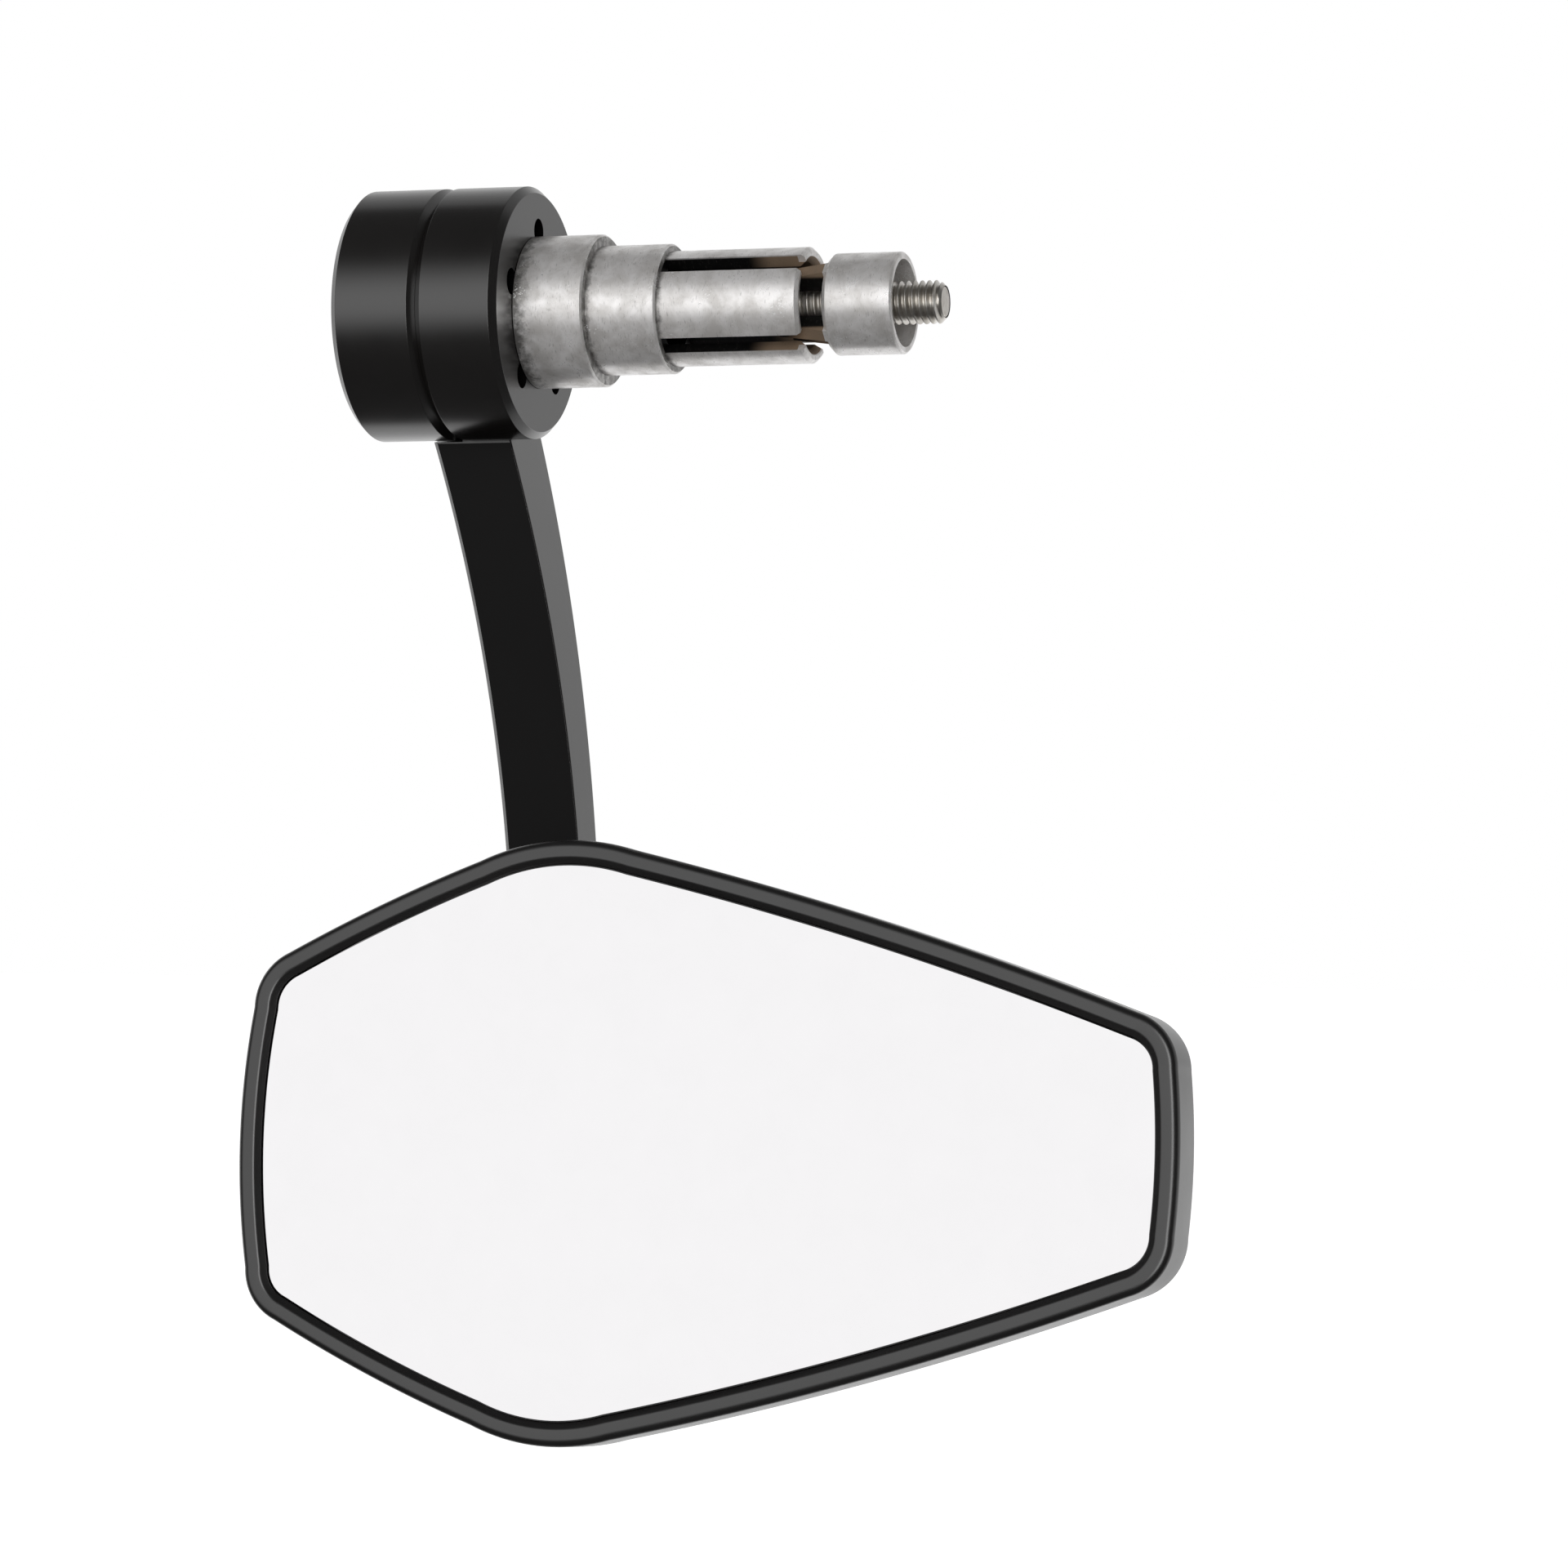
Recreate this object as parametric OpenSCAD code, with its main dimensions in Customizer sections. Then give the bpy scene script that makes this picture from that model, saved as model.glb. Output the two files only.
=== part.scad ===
// Handlebar end mirror: expanding insert, swivel arm with end cap, and a
// kite-shaped mirror head on a clamped ball.
// Frame: X runs along the handlebar bore axis, into the bar. The origin is on
// that axis at the arm eye's bar-side face. Y points away from the rider's eye
// and Z is up. All sizes are in millimetres.

/* [Eye and end cap] */
// Outer diameter shared by the arm eye and the end cap
disc_d = 35.2; // [32:0.1:38]
// Axial width of the arm eye
eye_w = 12; // [11:0.1:14]
// Axial width of the end cap
cap_w = 12.4; // [10:0.1:16]
// Chamfer on every edge of both discs
disc_chamfer = 0.95; // [0.5:0.05:1.4]
// Hex key access hole through the end cap
key_hole_d = 6.4; // [6:0.1:7.5]

/* [Cap screws] */
// Number of screws that hold the cap to the eye
cap_screw_count = 5; // [3, 4, 5, 6]
// Pitch circle radius of the cap screws
cap_screw_pcr = 11.3; // [11:0.1:12]
// Diameter of the deep access holes in the eye
cap_hole_d = 3.7; // [3.6:0.1:4]
// Depth of the access holes from the bar-side face
cap_hole_depth = 8; // [6:0.1:9]
// Diameter of the small screws' heads
cap_screw_head_d = 3.4; // [3:0.1:3.5]
// Height of the small screws' heads
cap_screw_head_h = 1.6; // [1.2:0.1:2]
// Thread diameter of the small screws
cap_screw_d = 2; // [1.8:0.1:2.2]
// Length of the small screws under the head
cap_screw_len = 9; // [7:0.5:11]

/* [Expanding insert] */
// Diameter of the large step
step_a_d = 21.2; // [20:0.1:21.4]
// Diameter of the middle step
step_b_d = 18; // [17:0.1:19]
// Diameter of the collet
collet_d = 16; // [15.4:0.1:16.6]
// Bore of the collet
collet_bore_d = 12; // [11:0.1:12.4]
// Distance from the eye face to the end of the large step
step_a_end = 10.1; // [8:0.1:12]
// Distance from the eye face to the end of the middle step
step_b_end = 20.2; // [18:0.1:22]
// Distance from the eye face to the end of the collet
collet_end = 40.4; // [38:0.1:41]
// Width of the collet slots
slot_w = 2.8; // [2.4:0.1:3.2]
// Chamfer on the insert's step edges
step_chamfer = 0.5; // [0.3:0.1:0.8]

/* [Expander nut] */
// Diameter of the expander nut
nut_d = 14; // [13:0.1:14.4]
// Axial length of the expander nut
nut_len = 10; // [8:0.1:11]
// Gap between the collet and the nut as drawn, with the screw slack
nut_gap = 3; // [2.8:0.1:3.4]
// Bore of the nut's open cup
nut_cup_d = 12; // [11:0.1:12.4]
// Depth of the nut's open cup
nut_cup_depth = 5; // [3:0.1:5.5]
// Width of the nut's wedge keys
key_w = 1.9; // [1.6:0.1:2.2]
// Length of the nut's wedge keys
key_len = 7; // [6.5:0.1:8]
// Radius of the key backs at the nut
key_r = 6.8; // [6.4:0.1:6.9]

/* [Clamp screw] */
// Thread diameter of the clamp screw
clamp_d = 6; // [5.8:0.1:6]
// Length of the clamp screw under its head
clamp_len = 65; // [62:0.5:68]
// Diameter of the clamp screw's head
clamp_head_d = 10; // [9.8:0.1:10.4]
// Height of the clamp screw's head
clamp_head_h = 6; // [5.4:0.1:6]
// Width across the flats of the clamp screw's socket
clamp_socket_af = 5; // [4.8:0.1:5]
// Outer diameter of the clamp screw's washer
washer_d = 11; // [10.6:0.1:11.2]
// Thickness of the clamp screw's washer
washer_t = 1.6; // [1.2:0.1:1.8]

/* [Arm] */
// Height of the point where the arm runs straight down
arm_straight_z = -97; // [-98:0.5:-96]
// Arc radius of the arm's bar-side edge
arm_outer_r = 293; // [289:1:297]
// Arc radius of the arm's other edge
arm_inner_r = 274.8; // [271:0.2:278]
// X position of the bar-side edge on the straight stretch
arm_edge_x = 6.19; // [6.05:0.02:6.35]
// X position of the other edge on the straight stretch
arm_back_x = -4.83; // [-4.93:0.02:-4.73]
// Distance of the arm's flat front face behind the eye's axis
arm_front_y = 1.5; // [1.3:0.05:1.7]
// Thickness of the arm on the straight stretch
arm_t = 7.07; // [6.9:0.05:7.3]
// Arc radius of the arm's back face
arm_back_r = 541.6; // [530:2:560]

/* [Ball joint] */
// X position of the ball centre
pivot_x = 0.68; // [0.55:0.01:0.8]
// Distance of the ball centre in front of the eye's axis
pivot_y = 13; // [12.6:0.1:13.6]
// Height of the ball centre
pivot_z = -112; // [-114:0.5:-110]
// Ball diameter
ball_d = 10; // [9.8:0.1:10]
// Diameter of the ball stud's neck
neck_d = 4.6; // [4.2:0.1:4.8]
// Width across the flats of the ball stud's flange
flange_af = 10; // [9.5:0.1:10]
// Thickness of the ball stud's flange
flange_t = 3; // [2.6:0.1:3.2]
// Thread diameter of the ball stud
stud_d = 6; // [5.8:0.1:6]
// Diameter of the round boss at the arm's end
boss_d = 15; // [14:0.1:16]
// Width of the round boss at the arm's end
boss_w = 8.4; // [8:0.1:8.8]
// Thickness of the stud nut
stud_nut_h = 5; // [4.6:0.1:5.4]
// Outer diameter of the stud washer
stud_washer_d = 12; // [11.6:0.1:12]
// Thickness of the stud washer
stud_washer_t = 1.6; // [1.4:0.1:1.8]

/* [Mirror head] */
// Backward tilt of the mirror face
head_tilt = 6; // [4:0.5:8]
// Distance from the ball centre to the rim's front plane
rim_n = 14; // [13.8:0.1:14.2]
// Edge rounding of the rim
rim_round = 1.1; // [0.8:0.05:1.3]
// Distance from the outline to the rim band's inner edge
band_in = 2.5; // [2.2:0.05:2.7]
// Distance from the outline to the glass pocket's wall
pocket_in = 3.25; // [3.1:0.05:3.5]
// Depth from the rim's front plane to the pocket's upper edge
lip_depth = 0.65; // [0.4:0.05:0.9]
// Spherical radius of the convex glass
glass_r = 1400; // [1300:10:1500]
// Thickness of the glass
glass_t = 2; // [1.8:0.1:2.2]
// Thickness of the adhesive pad behind the glass
pad_t = 0.8; // [0.6:0.1:0.9]
// Radius of the round boss that holds the ball
socket_r = 13; // [12.8:0.1:13.2]
// Radius of the ball cup
cup_r = 7.4; // [7.2:0.1:7.6]
// Thickness of the clamp plate over the ball cup
clamp_plate_t = 1.5; // [1.3:0.1:1.5]
// Thread diameter of the clamp plate's screws
plate_screw_d = 3; // [2.8:0.1:3]
// Head diameter of the clamp plate's screws
plate_head_d = 5.5; // [5.2:0.1:5.5]
// Head height of the clamp plate's screws
plate_head_h = 1.6; // [1.4:0.1:1.6]
// Thread diameter of the carrier's screws
carrier_screw_d = 2.2; // [2:0.1:2.3]
// Head diameter of the carrier's screws
carrier_head_d = 4.4; // [4.2:0.1:4.6]
// Points along each rounded corner of the head's outline
arc_steps = 7; // [5:1:9]
// Points along each bowed side of the head's outline
side_steps = 7; // [5:1:9]

/* [Hidden] */
$fn = 64;
run = 0.05;
fine = 1440;
fine_ball = 720;
play = 0.1;
free = 0.3;
eps = 0.01;

disc_r = disc_d / 2;
ball_r = ball_d / 2;
nut_start = collet_end + nut_gap;
head_top = eye_w - 0.2;
head_seat = head_top - clamp_head_h;
bore_floor = head_seat - washer_t;
slot_start = step_b_end + run;
key_hub_r = clamp_d / 2 + run;
spigot_r = 7;
spigot_len = 1.5;
arm_mid_y = arm_front_y + arm_t / 2;
boss_near = arm_mid_y - boss_w / 2;
boss_far = arm_mid_y + boss_w / 2;
shank_len = boss_w + stud_washer_t + stud_nut_h + 1.2;
arm_top = -7;
wing_top = -11;
glass_top = rim_n + 0.3;
carrier_n = 8.2;
carrier_seat = 0.4;
carrier_head_h = 0.8;
carrier_post_r = 3;
clamp_plate_n = 6.8;
plate_screw_r = 10.4;
liner_in = ball_r + run;
liner_out = liner_in + 0.5;
cup_bottom = 0.9;
cup_top = 6.2;
opening_r = 4.05;
socket_low = -3.4;
socket_step = 0.2;
socket_top = 5;
glass_c = [26, -3.3];
carrier_spots = [[-20.1, -13], [-20.1, 10], [73.9, -13], [73.9, 5]];

// Head outline: corner, corner radius, and bow of the side that follows it
corners = [
  [-32.91, -26.28, 7.7, 0.59],
  [10.44, -45.93, 28.6, 1.22],
  [97.42, -20.01, 8.3, 0.53],
  [97.25, 13.61, 7.8, 1.17],
  [10.05, 39.6, 31.4, 0.47],
  [-33.17, 19.61, 8.3, 1.47]
];
nc = len(corners);

function xy(i) = [corners[(i + nc) % nc][0], corners[(i + nc) % nc][1]];
function unit(v) = v / norm(v);
function turn(i) = acos(unit(xy(i - 1) - xy(i)) * unit(xy(i + 1) - xy(i)));
function tangent_len(i) = corners[(i + nc) % nc][2] / tan(turn(i) / 2);
function arc_centre(i) =
  xy(i) + unit(unit(xy(i - 1) - xy(i)) + unit(xy(i + 1) - xy(i))) * corners[i][2] / sin(turn(i) / 2);
function arc_start(i) = xy(i) + unit(xy(i - 1) - xy(i)) * tangent_len(i);
function arc_end(i) = xy(i) + unit(xy(i + 1) - xy(i)) * tangent_len(i);
function heading(v) = atan2(v[1], v[0]);
function arc_points(i) =
  let (c = arc_centre(i), h = heading(arc_start(i) - c), sweep = 180 - turn(i))
  [for (k = [0:arc_steps]) c + corners[i][2] * [cos(h + sweep * k / arc_steps), sin(h + sweep * k / arc_steps)]];
function side_points(i) =
  let (a = arc_end(i), b = arc_start((i + 1) % nc), d = unit(b - a), s = corners[i][3])
  [for (k = [1:side_steps]) let (f = k / (side_steps + 1)) a + (b - a) * f + [d[1], -d[0]] * s * 4 * f * (1 - f)];
outline = [for (i = [0:nc - 1]) each concat(arc_points(i), side_points(i))];
np = len(outline);
function normal(i) =
  let (d = unit(outline[(i + 1) % np] - outline[(i + np - 1) % np])) [d[1], -d[0]];
function inset(d) = [for (i = [0:np - 1]) outline[i] - normal(i) * d];

// Rings of the housing shell: height, inset from the outline, scale about the ball
dome = [[-0.5, 0.3], [-0.3, 0.44], [0.1, 0.58], [0.7, 0.72], [1.5, 0.84], [2.4, 0.92], [3.4, 0.97]];
rings = concat(
  [for (r = dome) [r[0], 0.3, r[1]]],
  [[4.6, 0.3, 1], [5.8, 0, 1]],
  [for (a = [0:30:90]) [rim_n - rim_round + rim_round * sin(a), rim_round * (1 - cos(a)), 1]],
  [[rim_n, band_in, 1], [rim_n - lip_depth, pocket_in, 1], [6.4, pocket_in, 1]],
  [for (k = [len(dome) - 2:-1:0]) [dome[k][0] + 1.8, 0.5, min(dome[k][1], 0.9)]]
);

// Joins rings of equal point count into one closed solid
module loft(levels) {
  count = len(levels);
  points = [for (l = levels) each [for (p = inset(l[1])) [p[0] * l[2], p[1] * l[2], l[0]]]];
  walls = [for (k = [0:count - 2]) for (i = [0:np - 1])
    let (j = (i + 1) % np)
    each [[k * np + i, (k + 1) * np + i, (k + 1) * np + j], [k * np + i, (k + 1) * np + j, k * np + j]]];
  first_cap = [[for (i = [0:np - 1]) i]];
  last_cap = [[for (i = [np - 1:-1:0]) (count - 1) * np + i]];
  polyhedron(points = points, faces = concat(walls, first_cap, last_cap), convexity = 8);
}

module along_x(x) {
  translate([x, 0, 0]) rotate([0, 90, 0]) children();
}

module spin_x(profile) {
  rotate([0, 90, 0]) rotate_extrude() polygon(profile);
}

// Cap screw positions, with one at the top of the circle
module cap_screw_spots() {
  for (i = [0:cap_screw_count - 1])
    rotate([i * 360 / cap_screw_count, 0, 0]) translate([0, 0, cap_screw_pcr]) children();
}

// Places head parts: X across, Y up the face, Z out of the face
module in_head() {
  translate([pivot_x, -pivot_y, pivot_z]) rotate([90 - head_tilt, 0, 0]) children();
}

module head_plate(d, z0, z1) {
  translate([0, 0, z0]) linear_extrude(z1 - z0) polygon(inset(d));
}

// Full sphere that carries the convex face of the glass, lowered by depth
module face_sphere(depth) {
  translate([glass_c[0], glass_c[1], glass_top - glass_r]) sphere(r = glass_r - depth, $fn = fine_ball);
}

// The same convex face for the flat-backed carrier, as a stack of narrow cones
module face_cones(depth) {
  r = glass_r - depth;
  translate([glass_c[0], glass_c[1], glass_top - glass_r]) rotate_extrude() polygon(concat(
    [[0, r - 20], [84, r - 20]],
    [for (k = [14:-1:0]) [6 * k, sqrt(r * r - 36 * k * k)]]
  ));
}

module insert() {
  color("silver") difference() {
    spin_x([
      [collet_bore_d / 2, 4.5],
      [collet_bore_d / 2, collet_end - 1],
      [collet_bore_d / 2 + 0.9, collet_end],
      [collet_d / 2 - step_chamfer, collet_end],
      [collet_d / 2, collet_end - step_chamfer],
      [collet_d / 2, step_b_end],
      [step_b_d / 2 - step_chamfer, step_b_end],
      [step_b_d / 2, step_b_end - step_chamfer],
      [step_b_d / 2, step_a_end],
      [step_a_d / 2 - step_chamfer, step_a_end],
      [step_a_d / 2, step_a_end - step_chamfer],
      [step_a_d / 2, run],
      [spigot_r, run],
      [spigot_r, -spigot_len],
      [clamp_d / 2 + free, -spigot_len],
      [clamp_d / 2 + free, 4.5]
    ]);
    for (a = [45, 135])
      rotate([a, 0, 0])
        translate([slot_start, -collet_d, -slot_w / 2]) cube([collet_end, 2 * collet_d, slot_w]);
  }
}

module clamp_screw() {
  color("dimgray") difference() {
    union() {
      along_x(-head_top) cylinder(d = clamp_head_d, h = clamp_head_h);
      along_x(-head_seat - eps) cylinder(d = clamp_d, h = clamp_len - 0.8 + 2 * eps);
      along_x(clamp_len - 0.8 - head_seat - eps) cylinder(r1 = clamp_d / 2, r2 = clamp_d / 2 - 0.8, h = 0.8 + eps);
    }
    along_x(-head_top - eps) cylinder(d = clamp_socket_af / cos(30), h = 3, $fn = 6);
  }
}

module clamp_washer() {
  color("gainsboro") along_x(-head_seat) difference() {
    cylinder(d = washer_d, h = washer_t);
    translate([0, 0, -1]) cylinder(d = clamp_d + 0.4, h = washer_t + 2);
  }
}

module expander_nut() {
  color("silver") difference() {
    union() {
      spin_x([
        [0, nut_start],
        [nut_d / 2 - 0.6, nut_start],
        [nut_d / 2, nut_start + 0.6],
        [nut_d / 2, nut_start + nut_len - 0.3],
        [nut_d / 2 - 0.3, nut_start + nut_len],
        [0, nut_start + nut_len]
      ]);
      intersection() {
        for (a = [45, 135])
          rotate([a, 0, 0])
            translate([nut_start - key_len, -key_r, -key_w / 2]) cube([key_len + 1, 2 * key_r, key_w]);
        along_x(nut_start - key_len) cylinder(r1 = 5.2, r2 = key_r, h = key_len + 1);
      }
    }
    along_x(nut_start + nut_len - nut_cup_depth) cylinder(d = nut_cup_d, h = nut_cup_depth + 1);
    along_x(nut_start - key_len - 1) cylinder(r = key_hub_r, h = key_len + nut_len + 2);
  }
}

// One disc of the eye and cap pair, chamfered on both edges
module disc(x, w) {
  spin_x([
    [0, x],
    [disc_r - disc_chamfer, x],
    [disc_r, x + disc_chamfer],
    [disc_r, x + w - disc_chamfer],
    [disc_r - disc_chamfer, x + w],
    [0, x + w]
  ]);
}

// Curved stretch of the arm, with a flat front and a back that thickens upward
module arm_bar() {
  intersection() {
    translate([-40, arm_front_y, arm_straight_z]) cube([80, 40, arm_top - arm_straight_z]);
    translate([arm_edge_x - arm_outer_r, 0, arm_straight_z])
      rotate([90, 0, 0]) cylinder(r = arm_outer_r, h = 90, center = true, $fn = fine);
    difference() {
      translate([-40, 0, arm_straight_z - 1]) cube([80, 40, arm_top - arm_straight_z + 1]);
      translate([arm_back_x - arm_inner_r, 0, arm_straight_z])
        rotate([90, 0, 0]) cylinder(r = arm_inner_r, h = 90, center = true, $fn = fine);
      translate([0, arm_front_y + arm_t + arm_back_r, arm_straight_z])
        rotate([0, 90, 0]) cylinder(r = arm_back_r, h = 120, center = true, $fn = fine);
    }
  }
  translate([arm_back_x, arm_front_y, pivot_z])
    cube([arm_edge_x - arm_back_x, arm_t, arm_straight_z - pivot_z + eps]);
  translate([pivot_x, boss_far, pivot_z])
    rotate([90, 0, 0]) cylinder(d = boss_d, h = boss_w);
}

// The stretch beside the end cap stands clear of the cap
module arm() {
  color("black") difference() {
    union() {
      disc(-eye_w, eye_w);
      difference() {
        arm_bar();
        along_x(-eye_w) cylinder(r = disc_r - 1.4, h = 3 * eye_w);
        along_x(-eye_w - 40) cylinder(r = disc_r + 2 * play, h = 40);
        translate([-eye_w - 40, -20, wing_top]) cube([40, 60, 20]);
      }
    }
    along_x(-eye_w - 1) cylinder(r = washer_d / 2 + free, h = eye_w - bore_floor + 1);
    along_x(-spigot_len - 2 * play) cylinder(r = spigot_r + run, h = 3);
    along_x(-eye_w) cylinder(r = clamp_d / 2 + free, h = eye_w + 1);
    cap_screw_spots() {
      along_x(-cap_hole_depth) cylinder(d = cap_hole_d, h = cap_hole_depth + 1);
      along_x(-eye_w - 1) cylinder(d = cap_screw_d + 2 * play, h = eye_w);
    }
    translate([pivot_x, boss_far + 1, pivot_z])
      rotate([90, 0, 0]) cylinder(d = stud_d + 2 * play, h = boss_w + 2);
  }
}

module end_cap() {
  color("black") difference() {
    disc(-eye_w - cap_w, cap_w);
    along_x(-eye_w - cap_w - 1) cylinder(d = key_hole_d, h = cap_w + 2);
    along_x(-eye_w - cap_w - eps) cylinder(r1 = key_hole_d / 2 + 0.8, r2 = key_hole_d / 2, h = 0.8);
    cap_screw_spots() along_x(-eye_w - 7) cylinder(d = cap_screw_d, h = 8);
  }
}

module cap_screws() {
  color("dimgray") cap_screw_spots() difference() {
    union() {
      along_x(-cap_hole_depth) cylinder(d = cap_screw_head_d, h = cap_screw_head_h);
      along_x(-cap_hole_depth - cap_screw_len) cylinder(d = cap_screw_d, h = cap_screw_len + eps);
    }
    along_x(-cap_hole_depth + cap_screw_head_h - 0.9) cylinder(d = 1.73, h = 1, $fn = 6);
  }
}

module ball_stud() {
  color("silver") translate([pivot_x, 0, pivot_z]) {
    translate([0, -pivot_y, 0]) sphere(d = ball_d);
    translate([0, boss_near - flange_t + eps, 0])
      rotate([90, 0, 0]) cylinder(d = neck_d, h = pivot_y + boss_near - flange_t);
    translate([0, boss_near, 0])
      rotate([90, 0, 0]) cylinder(d = flange_af / cos(30), h = flange_t, $fn = 6);
    translate([0, boss_near + shank_len, 0])
      rotate([90, 0, 0]) cylinder(d = stud_d, h = shank_len + eps);
  }
}

module stud_washer() {
  color("gainsboro") translate([pivot_x, boss_far + stud_washer_t, pivot_z]) rotate([90, 0, 0]) difference() {
    cylinder(d = stud_washer_d, h = stud_washer_t);
    translate([0, 0, -1]) cylinder(d = stud_d + 4 * play, h = stud_washer_t + 2);
  }
}

// Hex nut with its outer corners turned off on the far side
module stud_nut() {
  color("gainsboro") translate([pivot_x, boss_far + stud_washer_t + stud_nut_h, pivot_z])
    rotate([90, 0, 0]) difference() {
      intersection() {
        cylinder(d = flange_af / cos(30), h = stud_nut_h, $fn = 6);
        translate([0, 0, -flange_af / 2]) cylinder(r1 = 0, r2 = 2 * flange_af, h = 2 * flange_af);
      }
      translate([0, 0, -1]) cylinder(d = stud_d + 2 * run, h = stud_nut_h + 2);
    }
}

module ball_liner() {
  color("white") in_head() difference() {
    sphere(r = liner_out);
    sphere(r = liner_in);
    translate([-10, -10, -20 + 0.6]) cube([20, 20, 20]);
  }
}

module ball_cup() {
  color("ivory") in_head() difference() {
    translate([0, 0, cup_bottom]) cylinder(r = cup_r, h = cup_top - cup_bottom);
    sphere(r = liner_out + run);
  }
}

module spring_washer() {
  color("gray") in_head() rotate_extrude() polygon([
    [2.6, cup_top],
    [3.4, cup_top],
    [6.6, clamp_plate_n - 0.5],
    [6.6, clamp_plate_n],
    [5.8, clamp_plate_n],
    [2.6, cup_top + 0.5]
  ]);
}

// Positions of the three screws around the ball
module plate_screw_spots() {
  for (a = [30, 150, 270])
    rotate([0, 0, a]) translate([plate_screw_r, 0, 0]) children();
}

module housing() {
  color("dimgray") in_head() difference() {
    union() {
      loft(rings);
      translate([0, 0, socket_low]) cylinder(r1 = socket_r - 4, r2 = socket_r, h = socket_step - socket_low);
      cylinder(r = socket_r, h = socket_top);
      for (p = carrier_spots)
        translate([p[0], p[1], 1]) cylinder(r = carrier_post_r, h = carrier_n - 1);
    }
    sphere(r = liner_in);
    translate([0, 0, socket_low - 1]) cylinder(r = opening_r, h = 3);
    intersection() {
      sphere(r = liner_out + free);
      translate([-10, -10, -1]) cube([20, 20, 20]);
    }
    translate([0, 0, socket_step + play]) cylinder(r = cup_r + play, h = cup_top);
    plate_screw_spots() cylinder(d = plate_screw_d - 4 * play, h = socket_top + 1);
    for (p = carrier_spots)
      translate([p[0], p[1], 3]) cylinder(d = carrier_screw_d, h = carrier_n);
  }
}

module clamp_plate() {
  color("gainsboro") in_head() translate([0, 0, clamp_plate_n]) difference() {
    cylinder(r = socket_r, h = clamp_plate_t);
    translate([0, 0, -1]) cylinder(d = neck_d + 2 * play, h = clamp_plate_t + 2);
    plate_screw_spots()
      translate([0, 0, -1]) cylinder(d = plate_screw_d + 4 * play, h = clamp_plate_t + 2);
  }
}

module clamp_plate_screws() {
  color("dimgray") in_head() plate_screw_spots() difference() {
    union() {
      translate([0, 0, socket_step + 4 * play])
        cylinder(d = plate_screw_d - 4 * play - 2 * eps, h = clamp_plate_n);
      translate([0, 0, socket_top + 2 * play])
        cylinder(d = plate_screw_d, h = clamp_plate_n + clamp_plate_t - socket_top);
      translate([0, 0, clamp_plate_n + clamp_plate_t]) cylinder(d = plate_head_d, h = plate_head_h);
    }
    translate([0, 0, clamp_plate_n + clamp_plate_t + plate_head_h - 0.9])
      cylinder(d = 2 / cos(30), h = 2, $fn = 6);
  }
}

module carrier() {
  color("dimgray") in_head() intersection() {
    difference() {
      head_plate(pocket_in + 4 * play, carrier_n, rim_n - glass_t);
      translate([0, 0, carrier_n - 1]) cylinder(r = socket_r + 1.2, h = rim_n);
      for (p = carrier_spots) {
        translate([p[0], p[1], carrier_n - 1]) cylinder(d = carrier_screw_d + 2 * free, h = rim_n);
        translate([p[0], p[1], carrier_n + carrier_seat]) cylinder(d = carrier_head_d + 2 * free, h = rim_n);
      }
    }
    face_cones(glass_t + pad_t + 2 * eps);
  }
}

module carrier_screws() {
  color("dimgray") in_head() for (p = carrier_spots) translate([p[0], p[1], 0]) difference() {
    union() {
      translate([0, 0, 3.5]) cylinder(d = carrier_screw_d - 4 * eps, h = carrier_n + carrier_seat - 3.4);
      translate([0, 0, carrier_n + carrier_seat]) cylinder(d = carrier_head_d, h = carrier_head_h);
    }
    translate([0, 0, carrier_n + carrier_seat + 0.4]) cylinder(d = 1.5, h = 2, $fn = 6);
  }
}

module adhesive_pad() {
  color("black") in_head() difference() {
    intersection() {
      head_plate(pocket_in + 1.6, carrier_n, rim_n);
      face_sphere(glass_t);
    }
    face_sphere(glass_t + pad_t);
  }
}

module mirror_glass() {
  color("lightcyan") in_head() difference() {
    intersection() {
      head_plate(pocket_in + 0.06, carrier_n, glass_top + 1);
      face_sphere(0);
    }
    face_sphere(glass_t);
  }
}

insert();
clamp_screw();
clamp_washer();
expander_nut();
arm();
end_cap();
cap_screws();
ball_stud();
stud_washer();
stud_nut();
ball_liner();
ball_cup();
spring_washer();
housing();
clamp_plate();
clamp_plate_screws();
carrier();
carrier_screws();
adhesive_pad();
mirror_glass();
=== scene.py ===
"""Dresses the handlebar end mirror and sets up a soft studio around it.

The finished shapes replace the plain solids of the frame one by one. All sizes
are in millimetres until a vertex is stored. X runs into the handlebar, Y points
away from the mirror face and Z is up.
"""

import logging
import math
from dataclasses import dataclass
from enum import Enum
from typing import Dict, Iterable, List, Optional, Sequence, Tuple, Union

import bmesh
import bpy
from mathutils import Matrix, Vector


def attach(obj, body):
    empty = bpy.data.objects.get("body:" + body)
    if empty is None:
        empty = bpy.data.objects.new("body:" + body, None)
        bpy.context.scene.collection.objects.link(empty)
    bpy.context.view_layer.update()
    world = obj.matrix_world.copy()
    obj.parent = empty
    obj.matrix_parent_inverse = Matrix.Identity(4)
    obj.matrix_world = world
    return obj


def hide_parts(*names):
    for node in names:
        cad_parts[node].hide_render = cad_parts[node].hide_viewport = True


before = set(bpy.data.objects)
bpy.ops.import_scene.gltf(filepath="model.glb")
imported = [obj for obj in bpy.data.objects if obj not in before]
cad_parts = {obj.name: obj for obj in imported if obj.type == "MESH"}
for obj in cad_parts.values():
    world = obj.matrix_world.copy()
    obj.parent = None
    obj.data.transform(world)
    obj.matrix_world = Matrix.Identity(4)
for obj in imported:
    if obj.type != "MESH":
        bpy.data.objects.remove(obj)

MM = 0.001
log = logging.getLogger("bar_end_mirror")

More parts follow.
